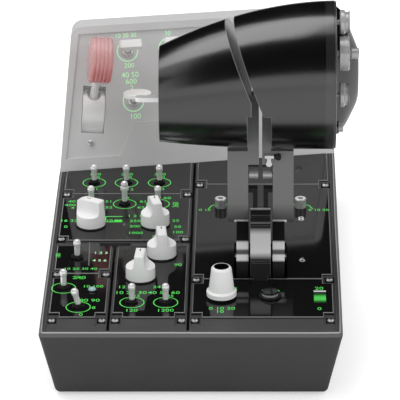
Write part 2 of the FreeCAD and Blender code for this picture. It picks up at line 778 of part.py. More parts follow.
def make_far_toggles():
    """Levers on the leaning face: two with wide square heads and one with a cranked disc."""
    reach, foot, thick = S["far_head_reach"], S["far_head_foot"], S["far_head_thickness"]
    disc, disc_thick, crank = S["far_disc_radius"], S["far_disc_thickness"], S["far_disc_crank"]
    for name, (u, slope, lean) in FAR_TOGGLES.items():
        at = far_pivot(u, slope)
        turn = far_axes() * Rotation(V(1, 0, 0), -lean)
        if name == "far_toggle_disc":
            rise, out = disc_thick / 2 * cosine(crank), reach + disc_thick / 2 * sine(crank)
            lifted = S["pivot_height"] - S["far_recess_depth"] - rise * sine(lean) + out * cosine(lean)
            start = far_place(u, slope + rise * cosine(lean) + out * sine(lean), lifted)[0]
            edge = 0.5
            head = turned([(0.0, 0.0), (disc - edge, 0.0), (disc, edge), (disc, disc_thick - edge),
                           (disc - edge, disc_thick), (0.0, disc_thick)], start,
                          turn * Rotation(V(1, 0, 0), 90 + number(crank)))
            length = reach - disc_thick - edge
        else:
            half = (S["paddle_width"] if name == "far_toggle_paddle" else S["flap_width"]) / 2
            head = pad([(-half, foot), (half, foot), (half, reach), (-half, reach)], thick, at=at,
                       plane="XZ_Plane", rotation=turn, midplane=True)
            dress(head, "Fillet", S["far_head_round"], lambda e: e.BoundBox.YLength > number(thick) - 0.1)
            length = foot + 1
        node(name, fuse(lever_stem(at, turn, length), head))


def bushing(at, turn=None):
    """Threaded bushing with a conical lip, and its hexagon nut, around a bat's pivot."""
    radius, height, bore = S["bushing_radius"], S["bushing_height"], S["bushing_bore"]
    barrel = turned([(bore, 0.0), (radius, 0.0), (radius, height - 0.5), (radius - 0.5, height), (bore, height)],
                    at, turn)
    across = S["nut_flats"] / 2
    corner = across * (2 / math.sqrt(3))
    hexagon = [(across, corner * -0.5), (across, corner * 0.5), (0.0, corner),
               (-across, corner * 0.5), (-across, corner * -0.5), (0.0, -corner)]
    nut = pad(hexagon, S["nut_height"], at=at, rotation=turn)
    hole = cylinder(radius - 0.2, S["nut_height"] * 3, at, turn)
    return fuse(barrel, cut(nut, hole))


def make_bushings():
    pieces = [bushing((x, along(y), panel_top)) for x, y, lean, kind in DECK_TOGGLES.values()]
    node("toggle_bushings", group(*pieces))
    pieces = [bushing(*far_place(u, slope, -S["far_recess_depth"])) for u, slope, lean in FAR_TOGGLES.values()]
    node("far_bushings", group(*pieces))


# ---------------------------------------------------------------------------------------------- knobs
# name: X from the centre line, distance behind the front edge, turn of the blade in degrees
KNOBS = {
    "knob_mode_left": (-75.9, 177.7, 62.0),
    "knob_mode_right": (-29.1, 178.7, 13.0),
    "knob_middle_rear": (-22.9, 124.9, 5.0),
    "knob_middle_front": (-36.9, 87.3, -4.0),
}
TRIM = (20.6, 56.2)
BUTTON = (54.5, 57.3)
FRICTION = {"friction_knob_left": (18.3, 209.0), "friction_knob_right": (77.2, 209.0)}
LAMP = (-70.2, 66.9)


def make_knobs():
    base = panel_top + S["collar_height"] + S["knob_clearance"]
    rise = S["knob_height"] - S["collar_height"]
    skirt_radius, skirt, crown = S["knob_skirt_radius"], S["knob_skirt_height"], S["knob_crown_radius"]
    half, flare = S["knob_blade"] / 2, S["knob_flare"]
    # The right half of the flank, from the skirt up through a hollow quarter circle to the blade's top.
    flank = [(skirt_radius + 1, 0.0), (skirt_radius + 1, skirt - 0.4), (half + flare + 1.2, skirt)]
    for angle in (0.0, 30.0, 60.0, 90.0):
        flank.append((half + flare * (1 - math.sin(math.radians(angle))),
                      skirt + flare * (1 - math.cos(math.radians(angle))) + 0.2))
    flank += [(half - 0.3, rise - 0.8), (half - 1.1, rise)]
    profile = flank + [(across * -1, up) for across, up in reversed(flank)]
    for name, (x, y, angle) in KNOBS.items():
        turn = Rotation(V(0, 0, 1), angle)
        at = (x, along(y), base)
        envelope = turned([(0.0, 0.0), (skirt_radius, 0.0), (skirt_radius, skirt * 0.5), (crown, rise - 0.8),
                           (crown - 0.8, rise), (0.0, rise)], at)
        flanks = pad(profile, skirt_radius * 3, at=at, plane="XZ_Plane", rotation=turn, midplane=True)
        # The pointer's tail slopes away behind its crown.
        slope = turn * Rotation(V(1, 0, 0), -number(S["knob_tail_slope"]))
        side, crest = skirt_radius + 1, S["knob_crest"]
        start = (x - side * cosine(angle) - crest * sine(angle), along(y) - side * sine(angle) + crest * cosine(angle),
                 base + rise)
        tail = box(start, (side * 2, side * 1.5, side * 1.5), slope)
        node(name, cut(common(envelope, flanks), tail))


# The shaft's end stays inside its guide ring when it is pushed to the panel.
trim_guide = S["trim_travel"] + S["slack"] + 0.4


def make_trim():
    x, y = TRIM
    foot = panel_top + S["trim_travel"] + S["slack"]
    drop = trim_guide + S["slack"]
    skirt = S["trim_skirt_radius"]
    top = panel_top + S["trim_height"] - foot
    flange, body, neck = S["trim_flange_radius"], S["trim_body_radius"], S["trim_neck_radius"]
    lip, bore, rim = S["trim_lip_radius"], S["trim_bore"], S["trim_flange_height"]
    knob = turned([(bore, drop), (skirt, drop), (skirt, 0.0), (flange, 0.0), (flange, rim), (body, rim + 1.2), (neck, top - 1.4),
                   (neck - 0.5, top - 0.5), (lip, top), (bore, top)], (x, along(y), foot))
    node("trim_knob", knob)
    reach = S["trim_travel"] + S["slack"]
    shaft = cylinder(bore - S["fit_clearance"], S["trim_height"] - S["trim_recess"] - reach,
                     (x, along(y), panel_top + reach))
    node("trim_shaft", shaft)


def ring(outer, inner, height, x, y):
    return turned([(inner, 0.0), (outer, 0.0), (outer, height - 0.25), (outer - 0.25, height), (inner, height)],
                  (x, along(y), panel_top))


def make_collars():
    """Dark rings under the knobs, the push button's bezel and the lamp's seat."""
    pieces = [ring(S["collar_radius"], S["knob_blade"] / 2, S["collar_height"], x, y) for x, y, turn in KNOBS.values()]
    guide = S["trim_bore"] + S["slack"]
    pieces.append(ring(S["trim_skirt_radius"] - S["slack"] * 2, guide, trim_guide, *TRIM))
    pieces.append(ring(S["button_ring_radius"], S["button_radius"] + S["slack"], 1.5, *BUTTON))
    pieces.append(ring(S["lamp_radius"] + 0.9, S["lamp_radius"], 0.8, *LAMP))
    node("knob_collars", group(*pieces))


def make_small_controls():
    x, y = BUTTON
    radius, height = S["button_radius"], S["button_height"]
    bottom = S["button_travel"] + S["slack"]
    node("reset_button", turned([(0.0, 0.0), (radius, 0.0), (radius, height - 0.6), (radius - 0.6, height),
                                 (0.0, height)], (x, along(y), panel_top + bottom)))
    for name, (x, y) in FRICTION.items():
        radius, height, flat = S["friction_radius"], S["friction_height"], S["friction_socket"]
        barrel = turned([(0.0, 0.0), (radius, 0.0), (radius, height - 0.5), (radius - 0.5, height), (0.0, height)],
                        (x, along(y), panel_top + S["slack"]))
        hexagon = [(flat * math.cos(math.radians(a)), flat * math.sin(math.radians(a))) for a in range(0, 360, 60)]
        socket = pad(hexagon, height, at=(x, along(y), panel_top + S["slack"] + height - 3.0))
        node(name, cut(barrel, socket))
    radius = S["lamp_radius"]
    node("lamp_lens", turned([(0.0, 0.0), (radius, 0.0), (radius, 0.9), (radius * 0.8, 1.9), (radius * 0.35, 2.5),
                              (0.0, 2.5)], (LAMP[0], along(LAMP[1]), panel_top)))


# ----------------------------------------------------------------------------------- throttle mechanism
throttle_x = S["throttle_x"]


def make_detent_drum():
    """Fixed arch between the arms: grooved rim for the plungers, foot bracket in front, pedestal in the well."""
    half, radius = S["detent_half_width"], S["detent_radius"]
    centre_z = axle_z + S["detent_rise"]
    drum = cylinder(radius, half * 2, (throttle_x - half, axle_y, centre_z), ALONG_X)
    floor = deck - S["well_depth"]
    pedestal = centred_box(throttle_x, axle_y, floor, half * 2, radius, centre_z - floor)
    bracket_front = axle_y - radius - 2.4
    bracket = box((throttle_x - half, bracket_front, panel_top + 3.6), (half * 2, 8.0, S["bracket_height"] - 3.6))
    foot = box((throttle_x - half * 0.7, bracket_front, panel_top), (half * 1.4, 8.0, 3.6))
    tools = [cylinder(S["axle_radius"], half * 4, (throttle_x - half * 2, axle_y, axle_z), ALONG_X)]
    for angle in (-36.0, -18.0, 0.0, 18.0, 36.0):
        y = axle_y + radius * sine(angle)
        z = centre_z + radius * cosine(angle)
        tools.append(cylinder(S["detent_groove"], half * 4, (throttle_x - half * 2, y, z), ALONG_X))
    node("detent_drum", cut(fuse(drum, pedestal, bracket, foot), *tools))
    reach = S["axle_half_length"]
    node("axle", cylinder(S["axle_radius"], reach * 2, (throttle_x - reach, axle_y, axle_z), ALONG_X))


def mirrored_box(side, inner, outer, y, depth, low, high):
    """A block between two distances from the pair's centre plane, on one side of it."""
    start = throttle_x + inner if side > 0 else throttle_x - outer
    return box((start, y - depth / 2, deck + low), (outer - inner, depth, high - low))


def mirrored_cylinder(side, radius, inner, outer, y, height):
    start = throttle_x + inner if side > 0 else throttle_x - outer
    return cylinder(radius, outer - inner, (start, y, deck + height), ALONG_X)


def make_arm(name, side):
    """Plate on its drum, notched for the roller, ledge and detent plunger, with the neck on top."""
    depth, inner, outer = S["arm_thickness"], S["arm_inner"], S["arm_outer"]
    notch, middle = S["notch_half_width"], axle_y + S["arm_behind"]
    plate = mirrored_box(side, notch, outer, middle, depth, S["arm_bottom"], S["arm_top"])
    bridge = mirrored_box(side, inner, notch, middle, depth, S["notch_top"], S["arm_top"])
    hub = mirrored_cylinder(side, S["hub_radius"], S["hub_inner"], S["hub_outer"], axle_y, S["axle_above_deck"])
    roller = mirrored_cylinder(side, S["roller_radius"], inner + 0.5, notch - 0.5, middle, S["roller_height"])
    roller_pin = mirrored_cylinder(side, 1.4, inner + 0.5, notch, middle, S["roller_height"])
    ledge = mirrored_box(side, inner + 1.0, notch, middle, depth * 0.8, S["ledge_height"] - 3.0, S["ledge_height"])
    tip = S["axle_above_deck"] + S["detent_rise"] + S["detent_radius"] + S["slack"] * 1.5
    plunger = mirrored_box(side, inner + 1.0, inner + 1.0 + S["plunger_width"], middle, depth * 0.6, tip,
                           S["ledge_height"])
    neck_side = S["notch_left"] if side < 0 else S["notch_right"]
    neck = mirrored_box(side, inner, neck_side, middle, S["neck_depth"], S["arm_top"], S["neck_top"])
    bore = mirrored_cylinder(side, S["axle_radius"] + S["fit_clearance"], S["hub_inner"] - 1, S["hub_outer"] + 1,
                             axle_y, S["axle_above_deck"])
    node(name, cut(fuse(plate, bridge, hub, roller, roller_pin, ledge, plunger, neck), bore))


def make_latch():
    """Small lever on the right arm's face that hooks the two arms together."""
    face = axle_y + S["arm_behind"] - S["arm_thickness"] / 2 - S["slack"]
    x, z = throttle_x + 6.0, deck + 77.2
    plate = 1.8
    towards_viewer = Rotation(V(1, 0, 0), 90)
    pivot = cylinder(2.2, plate, (x, face, z), towards_viewer)
    web = box((x - 1.4, face - plate, z), (2.8, plate, 6.4))
    bar = box((x - 3.0, face - plate - 1.0, z + 4.6), (8.0, plate + 1.0, 2.2))
    tab = cylinder(2.0, 3.6, (x + 6.6, face, z + 5.6), towards_viewer)
    node("link_latch", fuse(pivot, web, bar, tab))


# ---------------------------------------------------------------------------------------------- grips
# distance from the pair's centre plane, half height, half depth, centre height above the deck
GRIP_SECTIONS = ((-70.6, 34.0, 30.5, 129.8), (-27.0, 44.8, 40.2, 137.6), (13.0, 50.6, 45.0, 142.2),
                 (51.2, 52.6, 46.5, 144.0))
# the end's dome: distance beyond the end plate, half height, half depth, behind the axle, centre height
DOME_SECTIONS = ((0.0, 46.6, 23.0, 22.5, 139.5), (4.6, 44.0, 21.0, 23.0, 138.0), (10.2, 33.8, 17.0, 23.5, 136.0),
                 (14.1, 24.5, 12.0, 23.7, 135.1), (16.6, 11.0, 6.0, 23.7, 136.0))


def loft_through(sections):
    """Smooth solid through upright ellipses: (x, half height, half depth, y, z)."""
    rings = []
    for x, tall, deep, y, z in sections:
        ellipse = doc.addObject("Part::Ellipse", "Ellipse")
        bind(ellipse, MajorRadius=tall, MinorRadius=deep)
        place(ellipse, (x, y, z), Rotation(V(0, 1, 0), -90))
        rings.append(ellipse)
    loft = doc.addObject("Part::Loft", "Loft")
    loft.Sections = rings
    loft.Solid = True
    loft.Ruled = False
    return loft


def make_grips():
    ends = (-S["grip_left_end"], S["grip_right_end"])
    sections = []
    for i, (dx, tall, deep, rise) in enumerate(GRIP_SECTIONS):
        if i == 0:
            dx = ends[0]
        if i == len(GRIP_SECTIONS) - 1:
            dx = ends[1]
        sections.append((throttle_x + dx, tall, deep, axle_y, deck + rise))
    high = 100.0
    left_side, right_side = S["notch_left"] * -1, S["notch_right"]
    left_foot, right_foot, upright = S["gap_left_foot"] * -1, S["gap_right_foot"] * -1, S["gap_left_upright"]
    left_cut = [(left_side, -80.0), (100.0, -80.0), (100.0, high),
                (left_foot - S["gap_left_slope"] * (high - upright), high), (left_foot, upright), (left_foot, 0.0),
                (left_side, 0.0)]
    right_cut = [(right_side, -80.0), (right_side, 0.0), (right_foot, 0.0),
                 (right_foot - S["gap_right_slope"] * high, high), (-100.0, high), (-100.0, -80.0)]
    at = (throttle_x, axle_y, deck + S["neck_top"])
    left = cut(loft_through(sections), pad(left_cut, 200.0, at=at, plane="XZ_Plane", midplane=True))
    lever_slot = box((throttle_x + ends[0] - 1, axle_y - S["finger_lever_depth"] / 2 - S["slack"],
                      deck + S["finger_lever_height"] - S["finger_lever_thickness"] / 2 - S["slack"]),
                     (S["finger_pivot_inset"] + S["finger_lever_thickness"] / 2 + S["slack"] + 1,
                      S["finger_lever_depth"] + S["slack"] * 2, S["finger_lever_thickness"] + S["slack"] * 2 + 1.2))
    node("grip_left", cut(left, lever_slot))
    right = cut(loft_through(sections), pad(right_cut, 200.0, at=at, plane="XZ_Plane", midplane=True))
    node("grip_right", right)


def make_finger_lever():
    """Polished lift lever on the left grip's end, turning about its root."""
    thick = S["finger_lever_thickness"]
    root_x = throttle_x - S["grip_left_end"] + S["finger_pivot_inset"]
    z = deck + S["finger_lever_height"]
    depth = S["finger_lever_depth"]
    length = S["finger_lever_length"] + S["finger_pivot_inset"]
    root = cylinder(thick / 2, depth, (root_x, axle_y + depth / 2, z), Rotation(V(1, 0, 0), 90))
    tip_x = root_x - length + depth / 2
    blade = box((tip_x, axle_y - depth / 2, z - thick / 2), (length - depth / 2, depth, thick))
    tip = cylinder(depth / 2, thick, (tip_x, axle_y, z - thick / 2))
    node("finger_lever", fuse(root, blade, tip))


end_face = throttle_x + S["grip_right_end"]


def make_end_cap():
    last = GRIP_SECTIONS[-1]
    plate = doc.addObject("Part::Ellipse", "Ellipse")
    bind(plate, MajorRadius=last[1] - 0.4, MinorRadius=last[2] - 0.4)
    place(plate, (end_face, axle_y, deck + last[3]), Rotation(V(0, 1, 0), -90))
    disc = doc.addObject("Part::Extrusion", "Disc")
    disc.Base = plate
    disc.DirMode = "Custom"
    disc.Dir = V(1, 0, 0)
    disc.Solid = True
    disc.FaceMakerClass = "Part::FaceMakerBullseye"
    bind(disc, LengthFwd=S["end_plate"])
    start = end_face + S["end_plate"] - 0.2
    dome = loft_through([(start + dx, tall, deep, axle_y + back, deck + rise)
                         for dx, tall, deep, back, rise in DOME_SECTIONS])
    inner, high = S["end_button_radius"] + S["slack"], S["end_button_travel"] + 1.2
    guide = turned([(inner, 0.0), (inner + 1.1, 0.0), (inner + 0.8, high), (inner, high)],
                   control_at("end_button", 0.0), ALONG_X)
    node("end_cap", fuse(disc, dome, guide))


# name: behind the axle (Y), height above the deck
END_CONTROLS = {
    "hat_top": (-11.8, 187.8),
    "thumb_wheel": (-18.3, 167.4),
    "hat_low": (-18.3, 136.5),
    "end_button": (-18.3, 112.1),
}


def control_at(name, out):
    back, rise = END_CONTROLS[name]
    return end_face + S["end_plate"] + out, axle_y + back, deck + rise


def make_end_controls():
    stand, thick, stem = S["control_stand_off"], S["control_thickness"], S["control_stem_radius"]
    gap = S["slack"]
    hat = S["hat_radius"]
    for name in ("hat_top", "hat_low"):
        profile = [(0.0, gap), (stem, gap), (stem, stand), (hat - 0.8, stand), (hat, stand + 0.8),
                   (hat, stand + thick * 0.45), (hat - 1.4, stand + thick * 0.6), (hat - 1.4, stand + thick * 0.8),
                   (hat - 0.4, stand + thick), (0.0, stand + thick)]
        node(name, turned(profile, control_at(name, 0.0), ALONG_X))
    wheel = S["wheel_radius"]
    rim = turned([(0.0, gap), (stem, gap), (stem, stand), (wheel, stand), (wheel, stand + thick - 0.8),
                  (wheel - 0.8, stand + thick), (0.0, stand + thick)], control_at("thumb_wheel", 0.0), ALONG_X)
    notches = []
    for i in range(12):
        angle = i * 30.0
        x, y, z = control_at("thumb_wheel", stand + thick - 1.2)
        notches.append(cylinder(0.9, 3.0, (x, y + wheel * sine(angle), z + wheel * cosine(angle)), ALONG_X))
    guide, travel = S["stub_stem_radius"], S["stub_travel"]
    bore = cylinder(guide + S["fit_clearance"], thick, control_at("thumb_wheel", stand + 1.6), ALONG_X)
    node("thumb_wheel", cut(rim, bore, *notches))
    stub, reach = S["stub_radius"], S["stub_length"]
    node("thumb_stub", turned([(0.0, -2.6), (guide, -2.6), (guide, 0.0), (stub, 0.0), (stub, reach - 0.8),
                               (stub - 0.8, reach), (0.0, reach)],
                              control_at("thumb_wheel", stand + thick + travel + gap), ALONG_X))
    radius, reach = S["end_button_radius"], S["end_button_length"]
    node("end_button", turned([(0.0, 0.0), (radius, 0.0), (radius, reach - 0.5), (radius - 0.5, reach), (0.0, reach)],
                              control_at("end_button", S["end_button_travel"] + gap), ALONG_X))


# --------------------------------------------------------------------------------------------- build
def build():
    make_base()
    make_feet()
    make_modules()
    make_panels()
    make_screws()
    make_far_housing()
    make_gear()
    make_bushings()
    make_deck_toggles()
    make_far_toggles()
    make_collars()
    make_knobs()
    make_trim()
    make_small_controls()
    make_detent_drum()
    make_arm("throttle_arm_left", -1)
    make_arm("throttle_arm_right", 1)
    make_latch()
    make_grips()
    make_finger_lever()
    make_end_cap()
    make_end_controls()


def check_and_export():
    doc.recompute()
    for obj in doc.Objects:
        if "Invalid" in obj.State or "Error" in obj.State:
            raise RuntimeError("%s (%s) failed" % (obj.Label, obj.Name))
    for obj in sub_parts:
        if obj.Shape.isNull() or not obj.Shape.isValid() or not obj.Shape.Solids:
            raise RuntimeError("%s has no valid solid" % obj.Label)
    os.makedirs("parts", exist_ok=True)
    for obj in sub_parts:
        obj.Shape.exportStep("parts/%s.step" % obj.Label)
        print("%-22s %2d solid(s) %10.1f mm3" % (obj.Label, len(obj.Shape.Solids), obj.Shape.Volume))
    print(len(sub_parts), "sub-parts")


build()
check_and_export()
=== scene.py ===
"""Throttle quadrant: finishes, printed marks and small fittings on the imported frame."""
import json
import math

import bmesh
import bpy
from mathutils import Matrix, Vector


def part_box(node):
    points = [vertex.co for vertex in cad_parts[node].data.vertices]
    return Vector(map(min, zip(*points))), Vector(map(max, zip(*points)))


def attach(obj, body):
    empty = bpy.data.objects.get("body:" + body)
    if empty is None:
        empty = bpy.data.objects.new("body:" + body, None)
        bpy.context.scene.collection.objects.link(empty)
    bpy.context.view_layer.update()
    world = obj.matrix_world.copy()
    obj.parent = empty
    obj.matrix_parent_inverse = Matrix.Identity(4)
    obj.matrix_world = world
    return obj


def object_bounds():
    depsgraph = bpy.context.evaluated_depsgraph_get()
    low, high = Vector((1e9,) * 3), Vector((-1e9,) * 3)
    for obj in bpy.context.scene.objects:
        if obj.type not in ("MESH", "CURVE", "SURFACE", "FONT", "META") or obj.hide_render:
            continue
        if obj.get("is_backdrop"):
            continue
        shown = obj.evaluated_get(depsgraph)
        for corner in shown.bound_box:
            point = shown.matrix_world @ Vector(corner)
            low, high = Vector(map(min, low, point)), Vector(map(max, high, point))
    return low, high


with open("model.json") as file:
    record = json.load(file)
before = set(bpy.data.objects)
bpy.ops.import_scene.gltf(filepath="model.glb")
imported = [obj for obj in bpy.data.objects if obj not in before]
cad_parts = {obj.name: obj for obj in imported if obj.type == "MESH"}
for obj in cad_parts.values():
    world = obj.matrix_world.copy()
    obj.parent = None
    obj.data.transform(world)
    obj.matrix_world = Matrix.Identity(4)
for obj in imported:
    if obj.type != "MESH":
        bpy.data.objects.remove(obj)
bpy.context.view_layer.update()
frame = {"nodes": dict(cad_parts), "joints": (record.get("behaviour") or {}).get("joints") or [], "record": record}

MM = 0.001
PRINT_LIFT = 0.05 * MM      # how far printed marks stand above what they are printed on
PRINT_SINK = 0.03 * MM      # and how far they reach into it
JOINTS = {joint["name"]: joint for joint in frame["joints"]}
SLOT_OF = {part["node"]: part["material_slot"] for part in frame["record"]["subparts"]}


# ---------------------------------------------------------------- places from the frame

def middle(node):
    low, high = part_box(node)
    return (low + high) / 2


def top_of(node):
    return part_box(node)[1].z


def pivot(joint):
    return Vector(JOINTS[joint]["pos_m"])


# Sizes that several finishes and fittings need, measured from the axle and the deck.
HUB_RADIUS = 29.4 * MM
HUB_HALF = 18.6 * MM        # half the width across both hubs
ARM_BEHIND = 3.2 * MM       # arms' middle behind the axle
ROLLER_RISE = 63.3 * MM     # roller's axis above the axle
ROLLER_RADIUS = 3.9 * MM
GAP_SHADE_LOW, GAP_SHADE_HIGH, WELL_HALF = 34.0 * MM, 72.0 * MM, 8.7 * MM      # painted shade in the gap between the arms' plates, from low to high above the axle, and the gap's half width
SEAM_INSET = 6.3 * MM       # the right grip's parting line, from its outer end
SEAM_WIDTH = 0.5 * MM
LATCH_KNOB = 5.2 * MM       # the length of the latch's black knob
# painted highlight bands: from and to, in degrees up from straight ahead, and how light
HUB_PAINTED_HIGHLIGHTS = ((18.0, 30.0, 222), (29.0, 34.5, 90), (33.5, 49.0, 214), (84.0, 100.0, 214))
DRUM_PAINTED_HIGHLIGHTS = ((22.0, 60.0, 214), (64.0, 67.0, 120), (86.0, 94.0, 190))
PLATE_SHADE_TOP = 42 * MM        # painted shade on the arm plates starts here, above the axle,
PLATE_SHADE_FULL = 24 * MM         # and is full from here down
TRIM_HOLLOW = 5.3 * MM      # radius of the hollow in the trim knob's top
RIM_LINE = 0.8 * MM         # the width of the painted highlight line along the housing's rim, and of the dark line where the modules meet it
CAP_START = 0.6             # where the push button's dark cap starts, as a share of its height
PIVOT_RISE = 1.9            # a lever's pivot above its face, in mm
SCREW_HEIGHT = 1.6 * MM

FRONT_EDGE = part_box("base_housing")[0].y
DECK_TOP = top_of("panel_throttle")


def on_deck(x, from_front, turn=0.0):
    """Place on the panels: X in mm from the centre line and mm from the deck's front edge, turned about Z."""
    return (Matrix.Translation((x * MM, FRONT_EDGE + from_front * MM, DECK_TOP))
            @ Matrix.Rotation(math.radians(turn), 4, "Z"))


def above(joint):
    """Place on the panels right under a control's joint."""
    point = pivot(joint)
    return Matrix.Translation((point.x, point.y, DECK_TOP))


FAR_TILT = math.radians(65.0)       # how steeply the far housing's face stands


def far_axes():
    """The leaning face's own frame: across it, up along it and out of it, from a lever's hinge on it."""
    across = Vector(JOINTS["far_toggle_disc_flip"]["axis"]).normalized()
    if across.x < 0:
        across.negate()
    back = Vector((-across.y, across.x, 0))
    up = back * math.cos(FAR_TILT) + Vector((0, 0, 1)) * math.sin(FAR_TILT)
    out = across.cross(up)
    return Matrix((across, up, out)).transposed().to_4x4()


# ---------------------------------------------------------------- shader helpers

def tone(red, green=None, blue=None):
    """A colour given as 0-255 display values, in the linear values that shaders take."""
    values = (red, red if green is None else green, red if blue is None else blue)
    return tuple(((v / 255 + 0.055) / 1.055) ** 2.4 if v > 10 else v / 255 / 12.92 for v in values) + (1.0,)


def new_group(name, inputs, outputs):
    """An empty shader group with named sockets: (group, its input node, its output node)."""
    tree = bpy.data.node_groups.new(name, "ShaderNodeTree")
    for label, kind, value in inputs:
        socket = tree.interface.new_socket(label, in_out="INPUT", socket_type=kind)
        socket.default_value = value
    for label, kind in outputs:
        tree.interface.new_socket(label, in_out="OUTPUT", socket_type=kind)
    return tree, tree.nodes.new("NodeGroupInput"), tree.nodes.new("NodeGroupOutput")


def maths(tree, operation, first, second=None, clamp=False):
    node = tree.nodes.new("ShaderNodeMath")
    node.operation = operation
    node.use_clamp = clamp
    for index, value in enumerate((first, second)):
        if value is None:
            continue
        if isinstance(value, (int, float)):
            node.inputs[index].default_value = value
        else:
            tree.links.new(value, node.inputs[index])
    return node.outputs[0]


def blend_colours(tree, amount, first, second):
    node = tree.nodes.new("ShaderNodeMix")
    node.data_type = "RGBA"
    for index, value in ((0, amount), (6, first), (7, second)):
        if hasattr(value, "links"):
            tree.links.new(value, node.inputs[index])
        else:
            node.inputs[index].default_value = value
    return node.outputs[2]


def spread(tree, value, low, high):
    """The value from 0 to 1 mapped onto low to high, which may be sockets."""
    node = tree.nodes.new("ShaderNodeMapRange")
    tree.links.new(value, node.inputs["Value"])
    for label, end in (("To Min", low), ("To Max", high)):
        if hasattr(end, "links"):
            tree.links.new(end, node.inputs[label])
        else:
            node.inputs[label].default_value = end
    return node.outputs["Result"]


def noise(tree, place, scale, detail=2.0, roughness=0.5):
    node = tree.nodes.new("ShaderNodeTexNoise")
    tree.links.new(place, node.inputs["Vector"])
    if hasattr(scale, "links"):
        tree.links.new(scale, node.inputs["Scale"])
    else:
        node.inputs["Scale"].default_value = scale
    node.inputs["Detail"].default_value = detail
    node.inputs["Roughness"].default_value = roughness
    return node.outputs["Fac"]


def object_place(tree):
    return tree.nodes.new("ShaderNodeTexCoord").outputs["Object"]


def parts_of(tree, vector):
    """The X, Y and Z of a vector, as sockets."""
    split = tree.nodes.new("ShaderNodeSeparateXYZ")
    tree.links.new(vector, split.inputs[0])
    return split.outputs


GRAIN_SHARE = 0.35      # how much of a finish's variation is fine grain; the rest is slow patches
EDGE_GAIN = 5.0         # how fast the painted edge highlight comes in as the eased normal turns
HIGHLIGHT_GAIN = 2.2         # how much of a painted highlight band is at its full colour


def make_grain_group():
    """Fine grain over slow patches: colour, roughness and a height for the bump."""
    tree, given, out = new_group(
        "moulded grain",
        (("Colour", "NodeSocketColor", (0.5, 0.5, 0.5, 1)),
         ("Patch Colour", "NodeSocketColor", (0.4, 0.4, 0.4, 1)),
         ("Grain Scale", "NodeSocketFloat", 2500.0), ("Patch Scale", "NodeSocketFloat", 25.0),
         ("Low Roughness", "NodeSocketFloat", 0.3), ("High Roughness", "NodeSocketFloat", 0.5)),
        (("Colour", "NodeSocketColor"), ("Roughness", "NodeSocketFloat"), ("Height", "NodeSocketFloat")))
    place = object_place(tree)
    grain = noise(tree, place, given.outputs["Grain Scale"], 3.0)
    patch = noise(tree, place, given.outputs["Patch Scale"], 4.0, 0.6)
    patch = spread(tree, patch, -0.6, 1.6)
    patch = maths(tree, "ADD", patch, 0.0, clamp=True)
    share = maths(tree, "ADD", maths(tree, "MULTIPLY", patch, 1 - GRAIN_SHARE),
                  maths(tree, "MULTIPLY", grain, GRAIN_SHARE), clamp=True)
    colour = blend_colours(tree, share, given.outputs["Colour"], given.outputs["Patch Colour"])
    tree.links.new(colour, out.inputs["Colour"])
    tree.links.new(spread(tree, share, given.outputs["Low Roughness"], given.outputs["High Roughness"]),
                   out.inputs["Roughness"])
    tree.links.new(grain, out.inputs["Height"])
    return tree


def make_edge_group():
    """A rounded-over normal along sharp edges, and how near an edge the surface is."""
    tree, given, out = new_group(
        "eased edge", (("Radius", "NodeSocketFloat", 0.0003),),
        (("Normal", "NodeSocketVector"), ("Edge", "NodeSocketFloat")))
    bevel = tree.nodes.new("ShaderNodeBevel")
    bevel.samples = 4
    tree.links.new(given.outputs["Radius"], bevel.inputs["Radius"])
    flat = tree.nodes.new("ShaderNodeNewGeometry")
    turn = tree.nodes.new("ShaderNodeVectorMath")
    turn.operation = "DOT_PRODUCT"
    tree.links.new(bevel.outputs[0], turn.inputs[0])
    tree.links.new(flat.outputs["Normal"], turn.inputs[1])
    away = maths(tree, "SUBTRACT", 1.0, turn.outputs["Value"], clamp=True)
    tree.links.new(maths(tree, "MULTIPLY", away, EDGE_GAIN, clamp=True), out.inputs["Edge"])
    tree.links.new(bevel.outputs[0], out.inputs["Normal"])
    return tree


def make_brushed_group():
    """Fine lines drawn along one direction, as on turned or brushed metal: roughness and height."""
    tree, given, out = new_group(
        "brushed lines",
        (("Stretch", "NodeSocketVector", (1.0, 40.0, 40.0)), ("Scale", "NodeSocketFloat", 60.0),
         ("Low Roughness", "NodeSocketFloat", 0.2), ("High Roughness", "NodeSocketFloat", 0.4)),
        (("Lines", "NodeSocketFloat"), ("Roughness", "NodeSocketFloat")))
    stretch = tree.nodes.new("ShaderNodeVectorMath")
    stretch.operation = "MULTIPLY"
    tree.links.new(object_place(tree), stretch.inputs[0])
    tree.links.new(given.outputs["Stretch"], stretch.inputs[1])
    lines = noise(tree, stretch.outputs["Vector"], given.outputs["Scale"], 4.0, 0.7)
    tree.links.new(lines, out.inputs["Lines"])
    tree.links.new(spread(tree, lines, given.outputs["Low Roughness"], given.outputs["High Roughness"]),
                   out.inputs["Roughness"])
    return tree


GRAIN = make_grain_group()
EDGE = make_edge_group()
BRUSHED = make_brushed_group()


def use_group(tree, group, **values):
    node = tree.nodes.new("ShaderNodeGroup")
    node.node_tree = group
    for label, value in values.items():
        node.inputs[label.replace("_", " ")].default_value = value
    return node


def set_shader(shader, **values):
    for label, value in values.items():
        shader.inputs[label.replace("_", " ")].default_value = value


